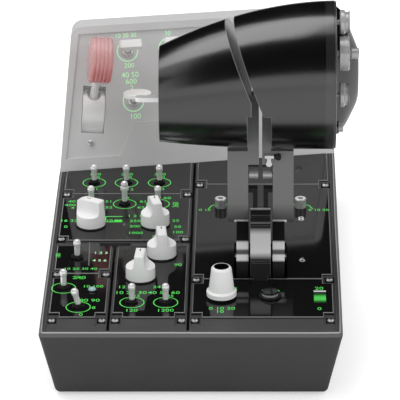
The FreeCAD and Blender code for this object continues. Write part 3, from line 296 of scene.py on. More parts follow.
def finish(name, colour, patch, rough, grain=2500.0, patches=25.0, bump=0.15, bump_depth=0.05,
           edge_highlight=None, edge_highlight_share=0.5, edge_radius=0.35, brushed=None, **shader_values):
    """A solid finish: grain, slow patches, eased edges with a painted highlight colour, and any plain shader
    values.

    rough is the lowest and highest roughness; bump_depth and edge_radius are in mm.
    """
    made = bpy.data.materials.new(name)
    made.use_nodes = True
    tree = made.node_tree
    shader = tree.nodes["Principled BSDF"]
    set_shader(shader, **shader_values)
    surface = use_group(tree, GRAIN, Colour=colour, Patch_Colour=patch, Grain_Scale=grain,
                        Patch_Scale=patches, Low_Roughness=rough[0], High_Roughness=rough[1])
    eased = use_group(tree, EDGE, Radius=edge_radius * MM)
    painted = surface.outputs["Colour"]
    # painted highlight along the eased edges
    if edge_highlight is not None:
        share = maths(tree, "MULTIPLY", eased.outputs["Edge"], edge_highlight_share, clamp=True)
        painted = blend_colours(tree, share, painted, edge_highlight)
    relief = tree.nodes.new("ShaderNodeBump")
    relief.inputs["Strength"].default_value = bump
    relief.inputs["Distance"].default_value = bump_depth * MM
    height, roughness = surface.outputs["Height"], surface.outputs["Roughness"]
    if brushed is not None:
        lines = use_group(tree, BRUSHED, Stretch=brushed, Low_Roughness=rough[0], High_Roughness=rough[1])
        height, roughness = lines.outputs["Lines"], lines.outputs["Roughness"]
    tree.links.new(height, relief.inputs["Height"])
    tree.links.new(eased.outputs["Normal"], relief.inputs["Normal"])
    tree.links.new(painted, shader.inputs["Base Color"])
    tree.links.new(roughness, shader.inputs["Roughness"])
    tree.links.new(relief.outputs[0], shader.inputs["Normal"])
    return made


def inside(tree, value, low, high):
    """1 where a value lies between two others, else 0."""
    return maths(tree, "MULTIPLY", maths(tree, "GREATER_THAN", value, low),
                 maths(tree, "LESS_THAN", value, high))


def ring_mask(tree, centre, radius, along="X"):
    """1 within a radius of a line through the centre along an axis, else 0."""
    place = parts_of(tree, object_place(tree))
    offs = [maths(tree, "SUBTRACT", place[axis], at) for axis, at in zip("XYZ", centre) if axis != along]
    squares = [maths(tree, "MULTIPLY", off, off) for off in offs]
    return maths(tree, "LESS_THAN", maths(tree, "SQRT", maths(tree, "ADD", *squares)), radius)


def band_mask(tree, axis, low, high):
    """1 between two places along an axis, else 0."""
    return inside(tree, parts_of(tree, object_place(tree))[axis], low, high)


def slope_mask(tree, low, high):
    """1 where a face's upward lean lies between two values, else 0: walls have 0 and flat tops 1."""
    normal = tree.nodes.new("ShaderNodeNewGeometry").outputs["True Normal"]
    return inside(tree, parts_of(tree, normal)["Z"], low, high)


def fade_mask(tree, axis, start, end):
    """0 at the start of a stretch along an axis, rising evenly to 1 at its end."""
    ramp = tree.nodes.new("ShaderNodeMapRange")
    ramp.inputs["From Min"].default_value = start
    ramp.inputs["From Max"].default_value = end
    tree.links.new(parts_of(tree, object_place(tree))[axis], ramp.inputs["Value"])
    return ramp.outputs["Result"]


def painted_highlight_mask(tree, centre, low, high):
    """A painted highlight's mask: 1 midway between two angles round a line along X, 0 at both, in degrees up from
    straight ahead.
    """
    place = parts_of(tree, object_place(tree))
    ahead = maths(tree, "SUBTRACT", centre.y, place["Y"])
    angle = maths(tree, "ARCTAN2", maths(tree, "SUBTRACT", place["Z"], centre.z), ahead)
    off = maths(tree, "ABSOLUTE", maths(tree, "SUBTRACT", angle, math.radians((low + high) / 2)))
    share = maths(tree, "SUBTRACT", 1.0, maths(tree, "DIVIDE", off, math.radians((high - low) / 2)))
    return maths(tree, "MULTIPLY", share, HIGHLIGHT_GAIN, clamp=True)


def recolour(made, mask, colour):
    """Another colour where the mask is 1."""
    tree = made.node_tree
    target = tree.nodes["Principled BSDF"].inputs["Base Color"]
    now = target.links[0].from_socket
    tree.links.new(blend_colours(tree, mask, now, colour), target)


def make_red_tyre():
    """Translucent red plastic, painted paler towards its top as a highlight, with a painted highlight along its
    moulded ribs' edges.
    """
    made = finish("gear_red", tone(226, 84, 90), tone(240, 150, 152), (0.16, 0.3), grain=900.0, patches=60.0,
                  bump=0.1, edge_highlight=tone(252, 205, 205), edge_highlight_share=0.75, edge_radius=0.8,
                  Transmission_Weight=0.35, IOR=1.46, Coat_Weight=0.4, Subsurface_Weight=0.2)
    low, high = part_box("gear_wheel")
    # painted highlight: paler towards the top
    painted_top_light = fade_mask(made.node_tree, "Z", low.z, high.z)
    recolour(made, maths(made.node_tree, "MULTIPLY", painted_top_light, 0.8, clamp=True), tone(254, 222, 222))
    return made


def make_arm_paint():
    """Grey paint on the plates and necks with a painted highlight along their edges, painted shade low on the
    plates and in the gap between them, hubs painted as reflecting metal in black with bright highlight bands, and
    bright rollers.
    """
    made = finish("arm_grey", tone(132), tone(122), (0.36, 0.48), grain=2200.0, bump=0.15,
                  edge_highlight=tone(190), edge_highlight_share=0.4, edge_radius=0.4, Specular_IOR_Level=0.2)
    tree = made.node_tree
    axle = pivot("throttle_right_swing")
    hub = maths(tree, "MULTIPLY", ring_mask(tree, axle, HUB_RADIUS),
                band_mask(tree, "X", axle.x - HUB_HALF, axle.x + HUB_HALF))
    between = band_mask(tree, "X", axle.x - WELL_HALF, axle.x + WELL_HALF)
    roller = ring_mask(tree, axle + Vector((0, ARM_BEHIND, ROLLER_RISE)), ROLLER_RADIUS)
    roller = maths(tree, "MULTIPLY", roller, between)
    gap_shade = maths(tree, "MULTIPLY", band_mask(tree, "Z", axle.z + GAP_SHADE_LOW, axle.z + GAP_SHADE_HIGH), between)
    # painted shade: the plates darker towards their bottoms, and the gap between them dark
    recolour(made, fade_mask(tree, "Z", axle.z + PLATE_SHADE_TOP, axle.z + PLATE_SHADE_FULL), tone(44))
    recolour(made, gap_shade, tone(34))
    recolour(made, roller, tone(190))
    # the hubs painted as reflecting metal: black, with bright painted highlight bands
    recolour(made, hub, tone(22))
    for low, high, shade in HUB_PAINTED_HIGHLIGHTS:
        highlight_band = maths(tree, "MULTIPLY", hub, painted_highlight_mask(tree, axle, low, high))
        recolour(made, highlight_band, tone(shade))
    shader = tree.nodes["Principled BSDF"]
    tree.links.new(maths(tree, "MULTIPLY", roller, 0.6), shader.inputs["Metallic"])
    return made


def make_drum_paint():
    """Dark drum with a bright brushed strip let into its front, painted brightest in its middle as a highlight,
    with more painted highlight bands above it and a painted highlight along its edges.
    """
    made = finish("drum_steel", tone(46), tone(34), (0.3, 0.46), bump=0.2, Metallic=0.2,
                  brushed=(30.0, 2.0, 2.0), edge_highlight=tone(170), edge_highlight_share=0.8, edge_radius=0.4,
                  Specular_IOR_Level=0.3)
    axle = pivot("throttle_right_swing")
    # painted highlights: bright bands round the axle
    for low, high, shade in DRUM_PAINTED_HIGHLIGHTS:
        recolour(made, painted_highlight_mask(made.node_tree, axle, low, high), tone(shade))
    return made


def make_latch_metal():
    """A bright bar with a black knob at its right-hand end."""
    made = finish("link_latch", tone(226), tone(212), (0.2, 0.3), grain=1200.0, bump=0.08, Metallic=0.5)
    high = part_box("link_latch")[1].x
    recolour(made, band_mask(made.node_tree, "X", high - LATCH_KNOB, high + MM), tone(18))
    return made


def make_grip_black():
    """Soft-touch black with a parting line near the outer end, a slightly paler band beyond it and a painted
    highlight along its edges.
    """
    made = finish("grip_black", tone(8), tone(12), (0.17, 0.22), grain=1500.0, bump=0.22, bump_depth=0.06,
                  edge_highlight=tone(200), edge_highlight_share=0.9, edge_radius=0.8, IOR=1.9)
    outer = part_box("grip_right")[1].x
    seam = outer - SEAM_INSET
    recolour(made, band_mask(made.node_tree, "X", seam, outer), tone(36))
    recolour(made, band_mask(made.node_tree, "X", seam - SEAM_WIDTH, seam), tone(10))
    return made


def make_knob_white():
    """White plastic with a faint painted highlight along its edges; the trim knob's hollow is black inside."""
    made = finish("knob_white", tone(250), tone(244), (0.3, 0.4), grain=2000.0, bump=0.06,
                  edge_highlight=tone(254), edge_radius=0.5, Specular_IOR_Level=0.35)
    recolour(made, ring_mask(made.node_tree, pivot("trim_turn"), TRIM_HOLLOW, along="Z"), tone(6))
    return made


def make_button_metal():
    """Turned metal with a dark cap on the push button; its flat tops, the friction knobs' white ends among them,
    are less metallic so that they show white, a painted highlight, and its edges carry a painted highlight.
    """
    made = finish("button_metal", tone(226), tone(212), (0.08, 0.16), grain=1400.0, bump=0.06,
                  edge_highlight=tone(250))
    tree = made.node_tree
    low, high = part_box("reset_button")
    cap_foot = low.z + CAP_START * (high.z - low.z)
    cap = maths(tree, "MULTIPLY", band_mask(tree, "Z", cap_foot, high.z + MM),
                band_mask(tree, "Y", low.y, high.y))
    recolour(made, cap, tone(40))
    # painted highlight: flat tops are made less metallic, so that they show white
    painted_highlight_tops = slope_mask(tree, 0.9, 1.1)
    tree.links.new(spread(tree, painted_highlight_tops, 0.6, 0.15), tree.nodes["Principled BSDF"].inputs["Metallic"])
    return made


def make_housing_grey():
    """Moulded grey whose up-leaning bevel along the top is painted lighter and whose upper edge has a bright line,
    both painted light, with a painted highlight along its edges.
    """
    made = finish("housing_grey", tone(66), tone(60), (0.42, 0.56), grain=2600.0, bump=0.3,
                  edge_highlight=tone(150), edge_highlight_share=0.8, edge_radius=0.8, Specular_IOR_Level=0.25)
    tree = made.node_tree
    # painted light: the up-leaning bevel lighter, and a painted highlight line along its top edge
    rim = slope_mask(tree, 0.2, 0.95)
    recolour(made, rim, tone(98))
    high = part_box("base_housing")[1].z
    recolour(made, maths(tree, "MULTIPLY", rim, band_mask(tree, "Z", high - RIM_LINE, high)), tone(170))
    return made


def make_module_grey():
    """Moulded grey with a painted highlight along its edges and a dark line where the modules meet the housing."""
    made = finish("module_grey", tone(78), tone(70), (0.4, 0.52), grain=2600.0, bump=0.25,
                  edge_highlight=tone(132), edge_highlight_share=0.55, edge_radius=0.4, Specular_IOR_Level=0.25)
    tree = made.node_tree
    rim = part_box("base_housing")[1].z
    recolour(made, maths(tree, "MULTIPLY", slope_mask(tree, -0.5, 0.5),
                         band_mask(tree, "Z", rim - RIM_LINE, rim + RIM_LINE)), tone(14))
    return made


def make_panel_black():
    """Polished black acrylic whose up-leaning bevelled rims are painted pale as a highlight."""
    made = finish("panel_gloss", tone(17), tone(24), (0.04, 0.09), grain=500.0, patches=14.0, bump=0.02,
                  edge_radius=0.3, Specular_IOR_Level=0.42)
    # painted highlight on the up-leaning bevelled rims
    recolour(made, slope_mask(made.node_tree, 0.4, 0.9), tone(132))
    return made


# Edge colours in these finishes are painted highlights along the edges; on handle_white it is a touch darker than
# the white, a faint painted shade.
FINISHES = {
    "housing_grey": make_housing_grey(),
    "module_grey": make_module_grey(),
    "panel_gloss": make_panel_black(),
    "far_grey": finish("far_grey", tone(208), tone(200), (0.42, 0.55), grain=2200.0, bump=0.2,
                       edge_highlight=tone(252), edge_highlight_share=0.9, edge_radius=0.6, Specular_IOR_Level=0.3),
    "screw_steel": finish("screw_steel", tone(240), tone(205), (0.1, 0.18), grain=1500.0, bump=0.1,
                          Metallic=0.6, edge_highlight=tone(252), edge_highlight_share=1.0, edge_radius=0.5),
    "toggle_chrome": finish("toggle_chrome", tone(253), tone(246), (0.05, 0.1), grain=700.0, bump=0.02,
                            Metallic=0.4, edge_radius=0.2),
    "bushing_black": finish("bushing_black", tone(20), tone(27), (0.25, 0.4), grain=1800.0, bump=0.15,
                            edge_highlight=tone(120), edge_highlight_share=0.6, edge_radius=0.2, Metallic=0.3),
    "knob_white": make_knob_white(),
    "handle_white": finish("handle_white", tone(252), tone(246), (0.25, 0.36), grain=2000.0, bump=0.06,
                           edge_highlight=tone(245), edge_radius=0.5),
    "shaft_black": finish("shaft_black", tone(8), tone(12), (0.5, 0.6), grain=1600.0, bump=0.1,
                          edge_highlight=tone(80), edge_highlight_share=0.5),
    "button_metal": make_button_metal(),
    "lamp_clear": finish("lamp_clear", tone(206, 232, 230), tone(170, 214, 212), (0.08, 0.16), grain=600.0,
                         bump=0.05, Transmission_Weight=0.5, IOR=1.45, Coat_Weight=0.5,
                         Emission_Strength=0.15, Emission_Color=tone(190, 235, 230)),
    "drum_steel": make_drum_paint(),
    "arm_grey": make_arm_paint(),
    "grip_black": make_grip_black(),
    "control_silver": finish("control_silver", tone(190), tone(168), (0.22, 0.34), grain=1400.0, bump=0.1,
                             Metallic=0.35, edge_highlight=tone(240), edge_highlight_share=0.8, edge_radius=0.4),
    "gear_metal": finish("gear_metal", tone(248), tone(238), (0.34, 0.46), bump=0.12, Metallic=0.2,
                         brushed=(2.0, 30.0, 30.0), edge_highlight=tone(250)),
    "gear_red": make_red_tyre(),
    "foot_rubber": finish("foot_rubber", tone(24), tone(30), (0.6, 0.8), grain=1500.0, bump=0.4),
}


def make_print(name, colour, patch, **shader_values):
    return finish(name, colour, patch, (0.45, 0.6), grain=3000.0, bump=0.04, **shader_values)


PRINT_GREEN = make_print("print_green", tone(86, 216, 90), tone(76, 206, 82),
                         Emission_Color=tone(80, 220, 84), Emission_Strength=0.35)
PRINT_PALE = make_print("print_pale", tone(196, 250, 198), tone(184, 242, 188),
                        Emission_Color=tone(190, 250, 194), Emission_Strength=0.3)
PRINT_GREY = make_print("print_grey", tone(120), tone(112))
PRINT_WHITE = make_print("print_white", tone(236), tone(226))
# black for the painted shade in screw sockets and on pocket floors, and for the knobs' index lines
POCKET_SHADE_AND_INDEX_BLACK = finish("pocket_shade_and_index_black", tone(6), tone(10), (0.5, 0.7), grain=1500.0, bump=0.1,
                      Specular_IOR_Level=0.1)

LATCH_METAL = make_latch_metal()

for node_name, cad_node in frame["nodes"].items():
    for holder in cad_node.material_slots:
        holder.material = LATCH_METAL if node_name == "link_latch" else FINISHES[SLOT_OF[node_name]]


# ---------------------------------------------------------------- mesh helpers

def finished_piece(name, body, paint, mesh):
    """A piece from mesh work, in one finish, riding on its body."""
    data = bpy.data.meshes.new(name)
    mesh.to_mesh(data)
    mesh.free()
    data.materials.append(paint)
    piece = bpy.data.objects.new(name, data)
    bpy.context.scene.collection.objects.link(piece)
    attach(piece, body)


def add_prism(mesh, outline, low, high, place):
    """A closed prism over a counter-clockwise (x, y) outline, from height low to high, added at its place."""
    bottom = [mesh.verts.new(place @ Vector((x, y, low))) for x, y in outline]
    upper = [mesh.verts.new(place @ Vector((x, y, high))) for x, y in outline]
    mesh.faces.new(list(reversed(bottom)))
    mesh.faces.new(upper)
    for i in range(len(outline)):
        j = (i + 1) % len(outline)
        mesh.faces.new((bottom[i], bottom[j], upper[j], upper[i]))


def rectangle(width, length, x=0.0, y=0.0):
    return [(x - width / 2, y - length / 2), (x + width / 2, y - length / 2),
            (x + width / 2, y + length / 2), (x - width / 2, y + length / 2)]


def arc_outline(radius, line, start, end, step=6.0):
    """The outline of a line of even width along an arc, between two angles in degrees."""
    count = max(2, int(abs(end - start) / step))
    angles = [math.radians(start + (end - start) * i / count) for i in range(count + 1)]
    outer = [((radius + line / 2) * math.cos(a), (radius + line / 2) * math.sin(a)) for a in angles]
    inner = [((radius - line / 2) * math.cos(a), (radius - line / 2) * math.sin(a)) for a in reversed(angles)]
    return outer + inner


FONT_SIZE = 1.38        # the typeface's size for digits of height 1


class Print:
    """Printed marks that share one finish and one body, gathered into one piece."""

    def __init__(self, name, body, paint):
        self.name, self.body, self.paint = name, body, paint
        self.mesh = bmesh.new()

    def shape(self, outline, place):
        """One closed mark over an outline."""
        add_prism(self.mesh, outline, -PRINT_SINK, PRINT_LIFT, place)

    def arc(self, radius, line, start, end, place):
        """Drawn in two halves where it closes on itself, so that each outline is simple."""
        if end - start > 300:
            centre = (start + end) / 2
            self.arc(radius, line, start, centre, place)
            self.arc(radius, line, centre, end, place)
        else:
            self.shape(arc_outline(radius * MM, line * MM, start, end), place)

    def line(self, x0, y0, x1, y1, width, place):
        """A straight stroke between two points, all in mm."""
        turn = Matrix.Rotation(math.atan2(y1 - y0, x1 - x0), 4, "Z")
        shifted = place @ Matrix.Translation(((x0 + x1) / 2 * MM, (y0 + y1) / 2 * MM, 0)) @ turn
        self.shape(rectangle((math.hypot(x1 - x0, y1 - y0) + width * 0.6) * MM, width * MM), shifted)

    def bar(self, width, length, x, y, place):
        """A filled rectangle, all in mm."""
        self.shape(rectangle(width * MM, length * MM, x * MM, y * MM), place)

    def number(self, text, height, x, y, place):
        """A number whose digits have this height, in mm, in Blender's own typeface."""
        curve = bpy.data.curves.new("number", "FONT")
        curve.body = text
        curve.size = height * MM * FONT_SIZE
        curve.align_x = "CENTER"
        curve.align_y = "CENTER"
        curve.extrude = (PRINT_LIFT + PRINT_SINK) / 2
        curve.offset = 0.02 * MM
        curve.resolution_u = 3
        holder = bpy.data.objects.new("number", curve)
        bpy.context.scene.collection.objects.link(holder)
        graph = bpy.context.evaluated_depsgraph_get()
        flat = bpy.data.meshes.new_from_object(holder.evaluated_get(graph))
        flat.transform(place @ Matrix.Translation((x * MM, y * MM, (PRINT_LIFT - PRINT_SINK) / 2)))
        self.mesh.from_mesh(flat)
        bpy.data.objects.remove(holder)
        bpy.data.meshes.remove(flat)

    def numbers(self, marks, place):
        """Several numbers round one place: each is (text, height, x, y)."""
        for text, height, x, y in marks:
            self.number(text, height, x, y, place)

    def loose_numbers(self, marks):
        """Numbers on plain places of the deck: each is (text, height, X, from the front edge, turn)."""
        for text, height, x, from_front, turn in marks:
            self.number(text, height, 0, 0, on_deck(x, from_front, turn))

    def done(self):
        finished_piece(self.name, self.body, self.paint, self.mesh)


# ---------------------------------------------------------------- printed marks on the deck

RING_FORWARD = -1.3         # the printed rings sit a little ahead of the bats' pivots, in mm
DECK_RING = (8.4, 0.7)      # a ring's radius and the width of its line, in mm
FAR_RING = (7.8, 0.8)
# control's joint: (number, height, to the right, away from the pilot), all in mm from the control
TOGGLE_MARKS = {
    "toggle_far_left_flip": (("100", 4.4, 0, 14.2), ("10", 3.4, 1.5, 8.9), ("1", 3.6, 2.5, -13.6)),
    "toggle_far_middle_flip": (("200", 4.4, 0, 14.2), ("20", 3.4, 1.5, 8.9), ("2", 3.6, 4.6, -14.0)),
    "toggle_far_right_flip": (("300", 4.4, 0, 14.2), ("30", 3.4, 1.5, 8.9), ("3", 3.6, 3.0, -13.6)),
    "toggle_mode_left_flip": (("40", 4.0, -14.5, 3.2), ("400", 4.0, -15.5, -3.4), ("4", 4.0, -13.4, -8.6)),
    "toggle_mode_lock_flip": (("50", 4.2, 0, 9.6), ("51", 4.0, -11.9, 3.0), ("52", 4.0, -11.4, -7.7)),
    "toggle_mode_right_flip": (("60", 4.2, 6.6, 9.4), ("61", 4.0, -11.0, 3.0), ("62", 4.0, -12.4, -7.7)),
    "toggle_left_rear_flip": (("70", 4.2, 10.1, 15.2),),
    "toggle_left_front_flip": (("80 90", 4.6, 7.4, 9.4), ("8", 4.0, 10.8, -2.4), ("0", 4.0, 2.4, -13.2)),
    "toggle_middle_left_flip": (("10 20 30", 4.6, -1.3, 14.4), ("15", 3.6, 3.0, 9.2), ("120", 4.4, 0, -14.0),
                                ("12", 4.2, -8.0, 23.6)),
    "toggle_middle_right_flip": (("40 50 60", 4.6, -1.6, 14.4), ("25", 3.6, 3.0, 9.2),
                                 ("1200", 4.4, 0, -14.0), ("24", 4.2, -6.8, 23.6)),
}
KNOB_MARKS = {
    "knob_mode_left_turn": (("16 32", 4.2, -16.5, 7.4), ("0", 4.2, -18.3, -3.4), ("10 20", 3.8, 16.4, 7.6)),
    "knob_mode_right_turn": (("1 2 5", 4.0, -15.2, 14.9), ("250", 4.0, -14.8, 5.8), ("500", 4.0, -14.5, -3.7),
                             ("1000", 4.0, -14.0, -15.1), ("25", 4.0, 14.8, 6.4), ("50", 4.0, 16.4, -4.4),
                             ("100", 4.0, 16.6, -14.0), ("0", 3.4, -0.5, -21.0)),
    "knob_middle_rear_turn": (("90", 4.2, 11.9, -16.0),),
    "trim_turn": (("5", 4.6, -9.2, 12.1), ("5", 4.6, 9.6, 12.8), ("0 10 20", 4.4, 0.5, -18.7),
                  ("10", 4.2, -1.0, -23.8)),
    "reset_press": (("1 2 3", 5.0, 0, 7.4),),
    "friction_knob_left_turn": (("0 10", 3.6, -11.6, -4.7),),
    "friction_knob_right_turn": (("0 10 20", 3.6, 13.4, -4.7),),
}
# plain places on the deck: (number, height, X from the centre line, from the deck's front edge, turn)
LOOSE_MARKS = (("240", 4.6, -80.3, 86.8, 0), ("10 100", 3.8, -69.9, 72.4, 0),
               ("10 20 30 40", 3.6, -80.1, 101.6, 0),
               ("180", 3.6, -97.0, 124.0, 90), ("360", 4.6, -14.8, 213.1, 90), ("20", 4.6, 88.9, 69.2, 0),
               ("0", 4.6, 88.7, 36.4, 0))
PALE_MARKS = (("1 2 3", 3.6, -66.7, 128.5, 0), ("4 5 6", 3.6, -67.1, 115.6, 0))
WHITE_MARKS = (("8", 7.0, 77.5, 188.0, 0), ("6", 7.0, 77.5, 116.6, 0))
# the lines that lead from the friction knobs to their numbers, from the knob outwards
LEADER = ((-4.4, 4.6), (-6.6, 3.4), (-7.6, 0.4), (-9.0, -2.6))
LEADER_STUB = ((4.3, 4.6), (7.4, 4.6))      # the short line on the knob's other side
LEADER_WIDTH = 0.8
# a small outlined field on the mode panel: its place, then each stroke's x, y, width and length
FIELD = (-59.4, 182.4)
FIELD_BARS = ((0, 0, 12.4, 1.0), (0, 9.6, 12.4, 1.0), (-6.2, 4.8, 0.8, 9.6), (3.0, 1.6, 6.0, 3.2))
GAUGE_BARS = (0.3, 0.8, 1.6, 1.9, 1.3, 0.7, 0.3)     # how thick the green bars are in mm, nearest first
GAUGE = (89.3, 64.6, 52.6)          # its middle, its white bar and its green field, in mm as above
GAUGE_WIDTH, GAUGE_STEP, GAUGE_START = 8.4, 2.1, -5.2      # across the green field and along it
WHITE_BAR = (8.6, 2.4)
GREY_LINE = ((0.8, 40.0), (-75.0, 127.0, 1.5))      # its width and length, then its place and turn


def place_of(joint):
    """Place on the panels under a control; a push's joint has no place of its own, so its node gives it."""
    if JOINTS[joint]["type"] == "hinge":
        return above(joint)
    centre = middle(joint.replace("reset_press", "reset_button"))
    return Matrix.Translation((centre.x, centre.y, DECK_TOP))


def make_deck_marks():
    """Rings, numbers, leader lines and a gauge, gathered by colour."""
    green = Print("deck_marks_green", "base", PRINT_GREEN)
    for joint, marks in TOGGLE_MARKS.items():
        green.arc(*DECK_RING, 0, 360, place_of(joint) @ Matrix.Translation((0, RING_FORWARD * MM, 0)))
        green.numbers(marks, place_of(joint))
    for joint, marks in KNOB_MARKS.items():
        green.numbers(marks, place_of(joint))
    green.loose_numbers(LOOSE_MARKS)
    for joint, side in (("friction_knob_left_turn", 1), ("friction_knob_right_turn", -1)):
        for (x0, y0), (x1, y1) in (*zip(LEADER, LEADER[1:]), LEADER_STUB):
            green.line(x0 * side, y0, x1 * side, y1, LEADER_WIDTH, place_of(joint))
    for x, y, width, length in FIELD_BARS:
        green.bar(width, length, x, y, on_deck(*FIELD))
    x, bar, field = GAUGE
    for step, thickness in enumerate(GAUGE_BARS):
        green.bar(GAUGE_WIDTH, thickness, 0, GAUGE_START + step * GAUGE_STEP, on_deck(x, field))
    green.done()
    pale = Print("deck_marks_pale", "base", PRINT_PALE)
    pale.loose_numbers(PALE_MARKS)
    pale.done()
    grey = Print("deck_marks_grey", "base", PRINT_GREY)
    size, place = GREY_LINE
    grey.bar(*size, 0, 0, on_deck(*place))
    grey.done()
    white = Print("deck_marks_white", "base", PRINT_WHITE)
    white.loose_numbers(WHITE_MARKS)
    white.bar(*WHITE_BAR, 0, 0, on_deck(x, bar))
    white.done()


# ---------------------------------------------------------------- printed marks on the leaning face

# joint of a lever on the leaning face: its numbers, placed as above
FAR_MARKS = {
    "far_toggle_paddle_flip": (("10 20 30", 3.4, -0.6, 11.8), ("200", 3.8, 0.6, -11.2)),
    "far_toggle_disc_flip": (("40 50", 4.2, -1.0, 19.8), ("600", 4.2, -0.6, 14.8), ("2", 3.4, -0.4, 10.2),
                             ("100", 4.2, 0.6, -11.8)),
    "far_toggle_flap_flip": (("30", 3.4, -0.4, 11.2), ("0", 4.0, 0, -11.6)),
}


def far_foot(joint):
    """The point of the leaning face right under a lever's pivot."""
    out = far_axes().col[2].to_3d()
    return pivot(joint) - out * (PIVOT_RISE * MM)


def make_far_marks():
    """A ring and numbers round each lever."""
    axes = far_axes()
    green = Print("far_marks", "base", PRINT_PALE)
    for joint, marks in FAR_MARKS.items():
        place = Matrix.Translation(far_foot(joint)) @ axes
        green.arc(*FAR_RING, 0, 360, place)
        green.numbers(marks, place)
    green.done()


# ---------------------------------------------------------------- copies made by geometry nodes

def new_tree(name, inputs):
    tree = bpy.data.node_groups.new(name, "GeometryNodeTree")
    tree.interface.new_socket("Geometry", in_out="INPUT", socket_type="NodeSocketGeometry")
    for label, kind, value in inputs:
        socket = tree.interface.new_socket(label, in_out="INPUT", socket_type=kind)
        if value is not None:
            socket.default_value = value
    tree.interface.new_socket("Geometry", in_out="OUTPUT", socket_type="NodeSocketGeometry")
    return tree, tree.nodes.new("NodeGroupInput"), tree.nodes.new("NodeGroupOutput")


def finish_tree(tree, given, out, geometry):
    """Realize Instances and Set Material, then the way out."""
    real = tree.nodes.new("GeometryNodeRealizeInstances")
    paint = tree.nodes.new("GeometryNodeSetMaterial")
    tree.links.new(geometry, real.inputs[0])
    tree.links.new(real.outputs[0], paint.inputs["Geometry"])
    tree.links.new(given.outputs["Material"], paint.inputs["Material"])
    tree.links.new(paint.outputs[0], out.inputs[0])


def make_copies_tree():
    """A copy of a piece on every point of the host, each turned by its own random amount."""
    tree, given, out = new_tree("copies on points", (
        ("Piece", "NodeSocketObject", None), ("Spin", "NodeSocketFloat", 0.0), ("Seed", "NodeSocketInt", 1),
        ("Material", "NodeSocketMaterial", None)))
    piece = tree.nodes.new("GeometryNodeObjectInfo")
    tree.links.new(given.outputs["Piece"], piece.inputs["Object"])
    chance = tree.nodes.new("FunctionNodeRandomValue")
    for socket in chance.inputs:
        if socket.enabled and socket.name == "Max":
            tree.links.new(given.outputs["Spin"], socket)
        if socket.enabled and socket.name == "Seed":
            tree.links.new(given.outputs["Seed"], socket)
    turn = tree.nodes.new("ShaderNodeCombineXYZ")
    tree.links.new([socket for socket in chance.outputs if socket.enabled][0], turn.inputs["Z"])
    copies = tree.nodes.new("GeometryNodeInstanceOnPoints")
    tree.links.new(given.outputs["Geometry"], copies.inputs["Points"])
    tree.links.new(piece.outputs["Geometry"], copies.inputs["Instance"])
    tree.links.new(turn.outputs[0], copies.inputs["Rotation"])
    finish_tree(tree, given, out, copies.outputs[0])
    return tree


def make_ridges_tree():
    """A ring of even ridges round an axis, as the grip on a turned wheel."""
    tree, given, out = new_tree("ring of ridges", (
        ("Count", "NodeSocketInt", 12), ("Radius", "NodeSocketFloat", 0.01),
        ("Width", "NodeSocketFloat", 0.001), ("Depth", "NodeSocketFloat", 0.001),
        ("Height", "NodeSocketFloat", 0.002), ("Material", "NodeSocketMaterial", None)))
    circle = tree.nodes.new("GeometryNodeMeshCircle")
    tree.links.new(given.outputs["Count"], circle.inputs["Vertices"])
    tree.links.new(given.outputs["Radius"], circle.inputs["Radius"])
    size = tree.nodes.new("ShaderNodeCombineXYZ")
    for label, axis in (("Depth", "X"), ("Width", "Y"), ("Height", "Z")):
        tree.links.new(given.outputs[label], size.inputs[axis])
    ridge = tree.nodes.new("GeometryNodeMeshCube")
    tree.links.new(size.outputs[0], ridge.inputs["Size"])
    step = maths(tree, "DIVIDE", math.tau, given.outputs["Count"])
    turn = tree.nodes.new("ShaderNodeCombineXYZ")
    index = tree.nodes.new("GeometryNodeInputIndex")
    tree.links.new(maths(tree, "MULTIPLY", index.outputs[0], step), turn.inputs["Z"])
    copies = tree.nodes.new("GeometryNodeInstanceOnPoints")
    tree.links.new(circle.outputs[0], copies.inputs["Points"])
    tree.links.new(ridge.outputs[0], copies.inputs["Instance"])
    tree.links.new(turn.outputs[0], copies.inputs["Rotation"])
    finish_tree(tree, given, out, copies.outputs[0])
    return tree


def grown(tree, values, points=((0, 0, 0),)):
    """The plain mesh that a tree makes on a host of points, with its inputs set by label."""
    host_mesh = bpy.data.meshes.new("host")
    host_mesh.from_pydata([tuple(point) for point in points], [], [])
    host = bpy.data.objects.new("host", host_mesh)
    bpy.context.scene.collection.objects.link(host)
    modifier = host.modifiers.new("tree", "NODES")
    modifier.node_group = tree
    for item in tree.interface.items_tree:
        if item.in_out == "INPUT" and item.name in values:
            modifier[item.identifier] = values[item.name]
    graph = bpy.context.evaluated_depsgraph_get()
    mesh = bpy.data.meshes.new_from_object(host.evaluated_get(graph))
    bpy.data.objects.remove(host)
    bpy.data.meshes.remove(host_mesh)
    return mesh


def join(meshes_and_places):
    """One mesh from several, each moved to its place, with its faces outwards."""
    whole = bmesh.new()
    for mesh, place in meshes_and_places:
        mesh.transform(place)
        whole.from_mesh(mesh)
        bpy.data.meshes.remove(mesh)
    bmesh.ops.recalc_face_normals(whole, faces=whole.faces)
    return whole


def solids_of(node):
    """The separate solids of a CAD node, as boxes (low, high), in a fixed order."""
    mesh = bmesh.new()
    mesh.from_mesh(frame["nodes"][node].data)
    bmesh.ops.remove_doubles(mesh, verts=mesh.verts, dist=0.001 * MM)
    mesh.verts.ensure_lookup_table()
    seen, found = set(), []
    for start in mesh.verts:
        if start.index in seen:
            continue
        seen.add(start.index)
        waiting, points = [start], []
        while waiting:
            corner = waiting.pop()
            points.append(corner.co.copy())
            for edge in corner.link_edges:
                other = edge.other_vert(corner)
                if other.index not in seen:
                    seen.add(other.index)
                    waiting.append(other)
        low = Vector([min(point[i] for point in points) for i in range(3)])
        high = Vector([max(point[i] for point in points) for i in range(3)])
        found.append((low, high))
    mesh.free()
    return sorted(found, key=lambda box: (round(box[0].x, 5), round(box[0].y, 5)))


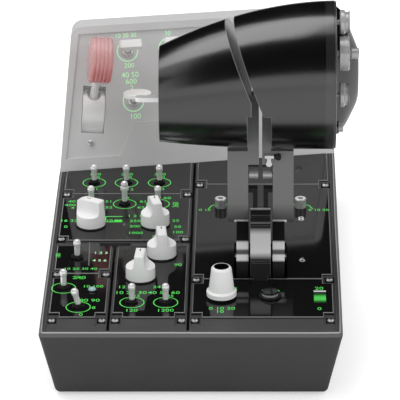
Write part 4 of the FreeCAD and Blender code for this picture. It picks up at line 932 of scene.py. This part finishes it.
LEANING_RISE = 5 * MM       # screws higher than this above the deck are on the leaning face
SOCKET_RADIUS = 1.35 * MM
SOCKET_SINK, POCKET_SHADE_SINK = 0.2 * MM, 0.05 * MM
FITTING_LIFT = 0.06 * MM    # how far the painted shade in sockets and on pocket floors stands above what it lies on
POCKET_SHADE_SIZE = (6.8 * MM, 8.6 * MM)
RIDGES = {"Count": 24, "Width": 1.3 * MM, "Depth": 1.0 * MM, "Height": 3.4 * MM}
RIDGE_SINK = 0.35 * MM      # how far inside the wheel's rim the ridges' middles lie
RIDGE_INSET = 2.6 * MM      # and how far in from its right-hand face
INDEX_LINE = (0.7, 3.4, 0.0, 1.4)       # a pointer's width, length and place on its crown, in mm
POINTER_TURNS = {"knob_mode_left": 62, "knob_mode_right": 13, "knob_middle_rear": 5, "knob_middle_front": -4}


def prism_piece(outline, low, high):
    """A hidden piece for the copying tree."""
    mesh = bmesh.new()
    add_prism(mesh, outline, low, high, Matrix())
    data = bpy.data.meshes.new("piece")
    mesh.to_mesh(data)
    mesh.free()
    return bpy.data.objects.new("piece", data)


def polygon(radius, sides):
    turns = [math.tau * i / sides for i in range(sides)]
    return [(radius * math.cos(turn), radius * math.sin(turn)) for turn in turns]


def make_screw_fittings(copies):
    """Painted shade: a black hexagon in each screw for its socket, and a black sheet on the floor of every screw
    pocket.
    """
    axes = far_axes()
    deck, leaning, pocket_shade_points = [], [], []
    for low, high in solids_of("panel_screws"):
        centre = (low + high) / 2
        if high.z > DECK_TOP + LEANING_RISE:
            leaning.append(axes.to_3x3().inverted() @ centre + Vector((0, 0, SCREW_HEIGHT / 2)))
        else:
            deck.append(Vector((centre.x, centre.y, high.z)))
            pocket_shade_points.append(Vector((centre.x, centre.y, low.z)))
    socket = prism_piece(polygon(SOCKET_RADIUS, 6), -SOCKET_SINK, FITTING_LIFT)
    values = {"Piece": socket, "Spin": 1.0, "Seed": 4, "Material": POCKET_SHADE_AND_INDEX_BLACK}
    whole = join([(grown(copies, values, deck), Matrix()), (grown(copies, values, leaning), axes)])
    finished_piece("screw_sockets", "base", POCKET_SHADE_AND_INDEX_BLACK, whole)
    floor = prism_piece(rectangle(*POCKET_SHADE_SIZE), -POCKET_SHADE_SINK, FITTING_LIFT)
    whole = join([(grown(copies, {"Piece": floor, "Material": POCKET_SHADE_AND_INDEX_BLACK}, pocket_shade_points), Matrix())])
    finished_piece("pocket_floors", "base", POCKET_SHADE_AND_INDEX_BLACK, whole)
    for piece in (socket, floor):
        bpy.data.objects.remove(piece)


def make_wheel_ridges(ridges):
    """The knurled rim of the thumb wheel, whose axis runs along X."""
    low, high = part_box("thumb_wheel")
    centre = pivot("thumb_wheel_turn")
    paint = FINISHES["control_silver"]
    values = dict(RIDGES, Radius=(high.y - low.y) / 2 - RIDGE_SINK, Material=paint)
    place = (Matrix.Translation((high.x - RIDGE_INSET, centre.y, centre.z))
             @ Matrix.Rotation(math.radians(90), 4, "Y"))
    whole = join([(grown(ridges, values), place)])
    finished_piece("thumb_wheel_ridges", "thumb_wheel", paint, whole)


def make_knob_pointers():
    """A dark index line let into the crown of each pointer knob."""
    for knob, turn in POINTER_TURNS.items():
        centre = pivot(knob + "_turn")
        place = (Matrix.Translation((centre.x, centre.y, top_of(knob)))
                 @ Matrix.Rotation(math.radians(turn), 4, "Z"))
        line = Print(knob + "_index", knob, POCKET_SHADE_AND_INDEX_BLACK)
        line.bar(*INDEX_LINE, place)
        line.done()


make_deck_marks()
make_far_marks()
COPIES = make_copies_tree()
make_screw_fittings(COPIES)
make_wheel_ridges(make_ridges_tree())
make_knob_pointers()


# ---------------------------------------------------------------- stage, light and camera

FLOOR_REACH = 6.0
FLOOR_LIFT = 0.45       # how much the floor glows to the camera, which lifts it to white


def plain_sheet(name, corners):
    """One stage object of flat quads, four corners each."""
    data = bpy.data.meshes.new(name)
    data.from_pydata(corners, [], [tuple(range(4 * i, 4 * i + 4)) for i in range(len(corners) // 4)])
    sheet = bpy.data.objects.new(name, data)
    bpy.context.scene.collection.objects.link(sheet)
    sheet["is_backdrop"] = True
    return sheet


def make_stage():
    """A pale floor that the camera sees as white, keeping the object's shadow."""
    floor_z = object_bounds()[0].z
    signs = ((-1, -1), (1, -1), (1, 1), (-1, 1))
    floor = plain_sheet("floor", [(x * FLOOR_REACH, y * FLOOR_REACH, floor_z) for x, y in signs])
    paint = bpy.data.materials.new("pale floor")
    paint.use_nodes = True
    tree = paint.node_tree
    shader = tree.nodes["Principled BSDF"]
    set_shader(shader, Base_Color=(0.9, 0.9, 0.9, 1), Roughness=0.9, Specular_IOR_Level=0.1,
               Emission_Color=(1, 1, 1, 1))
    ray = tree.nodes.new("ShaderNodeLightPath")
    lift = maths(tree, "MULTIPLY", ray.outputs["Is Camera Ray"], FLOOR_LIFT)
    tree.links.new(lift, shader.inputs["Emission Strength"])
    floor.data.materials.append(paint)


def make_flags():
    """Black flags overhead, behind, beside and in front, seen only in polished and satin surfaces."""
    wide, back, top, top_start, side_start = 2.4, 2.4, 2.2, 0.9, -2.0
    front, low = -3.4, 1.15         # the leaning front flag's near edge
    high_front, high = -0.8, 3.6    # and its far edge
    floor_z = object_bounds()[0].z
    flags = plain_sheet("black flags", [
        (-wide, top_start, top), (wide, top_start, top), (wide, back, top), (-wide, back, top),
        (-wide, back, floor_z), (wide, back, floor_z), (wide, back, top), (-wide, back, top),
        (-wide, front, low), (wide, front, low), (wide, high_front, high), (-wide, high_front, high),
        (-wide, side_start, floor_z), (-wide, back, floor_z), (-wide, back, top), (-wide, side_start, top),
        (wide, side_start, floor_z), (wide, back, floor_z), (wide, back, top), (wide, side_start, top)])
    paint = bpy.data.materials.new("flag cloth")
    paint.use_nodes = True
    set_shader(paint.node_tree.nodes["Principled BSDF"], Base_Color=(0.012, 0.012, 0.012, 1), Roughness=1.0,
               Specular_IOR_Level=0.0)
    flags.data.materials.append(paint)
    flags.visible_camera = flags.visible_diffuse = flags.visible_shadow = flags.visible_transmission = False


def make_world():
    world = bpy.data.worlds.new("studio")
    bpy.context.scene.world = world
    world.use_nodes = True
    tree = world.node_tree
    ground = tree.nodes["Background"]
    ground.inputs["Color"].default_value = (1, 1, 1, 1)
    ray = tree.nodes.new("ShaderNodeLightPath")
    seen = maths(tree, "ADD", ray.outputs["Is Camera Ray"], ray.outputs["Is Glossy Ray"], clamp=True)
    seen = maths(tree, "ADD", seen, ray.outputs["Is Transmission Ray"], clamp=True)
    tree.links.new(spread(tree, seen, 0.72, 1.0), ground.inputs["Strength"])


def make_lamp(name, at, target, size, power, seen_in_polish=True):
    data = bpy.data.lights.new(name, "AREA")
    data.shape = "RECTANGLE"
    data.size, data.size_y = size
    data.energy = power
    lamp = bpy.data.objects.new(name, data)
    lamp.location = at
    lamp.visible_glossy = seen_in_polish
    lamp.rotation_euler = (Vector(target) - Vector(at)).to_track_quat("-Z", "Y").to_euler()
    bpy.context.scene.collection.objects.link(lamp)


def make_camera():
    data = bpy.data.cameras.new("camera")
    data.sensor_width = 36.0
    data.lens = 315.72
    data.shift_x = -0.15375
    data.clip_end = 20.0
    camera = bpy.data.objects.new("camera", data)
    camera.location = (0.0485, -2.3191, 1.1103)
    camera.rotation_euler = (math.radians(66.0), 0, 0)
    bpy.context.scene.collection.objects.link(camera)
    bpy.context.scene.camera = camera


make_stage()
make_flags()
make_world()
make_lamp("large soft box", (-0.5, 0.2, 1.6), (0, 0, 0.1), (1.2, 1.2), 9.0)
make_lamp("front fill", (0.8, -1.8, 1.0), (0, 0, 0.1), (1.4, 1.0), 7.0, seen_in_polish=False)
make_camera()
bpy.context.scene.view_settings.view_transform = "Standard"
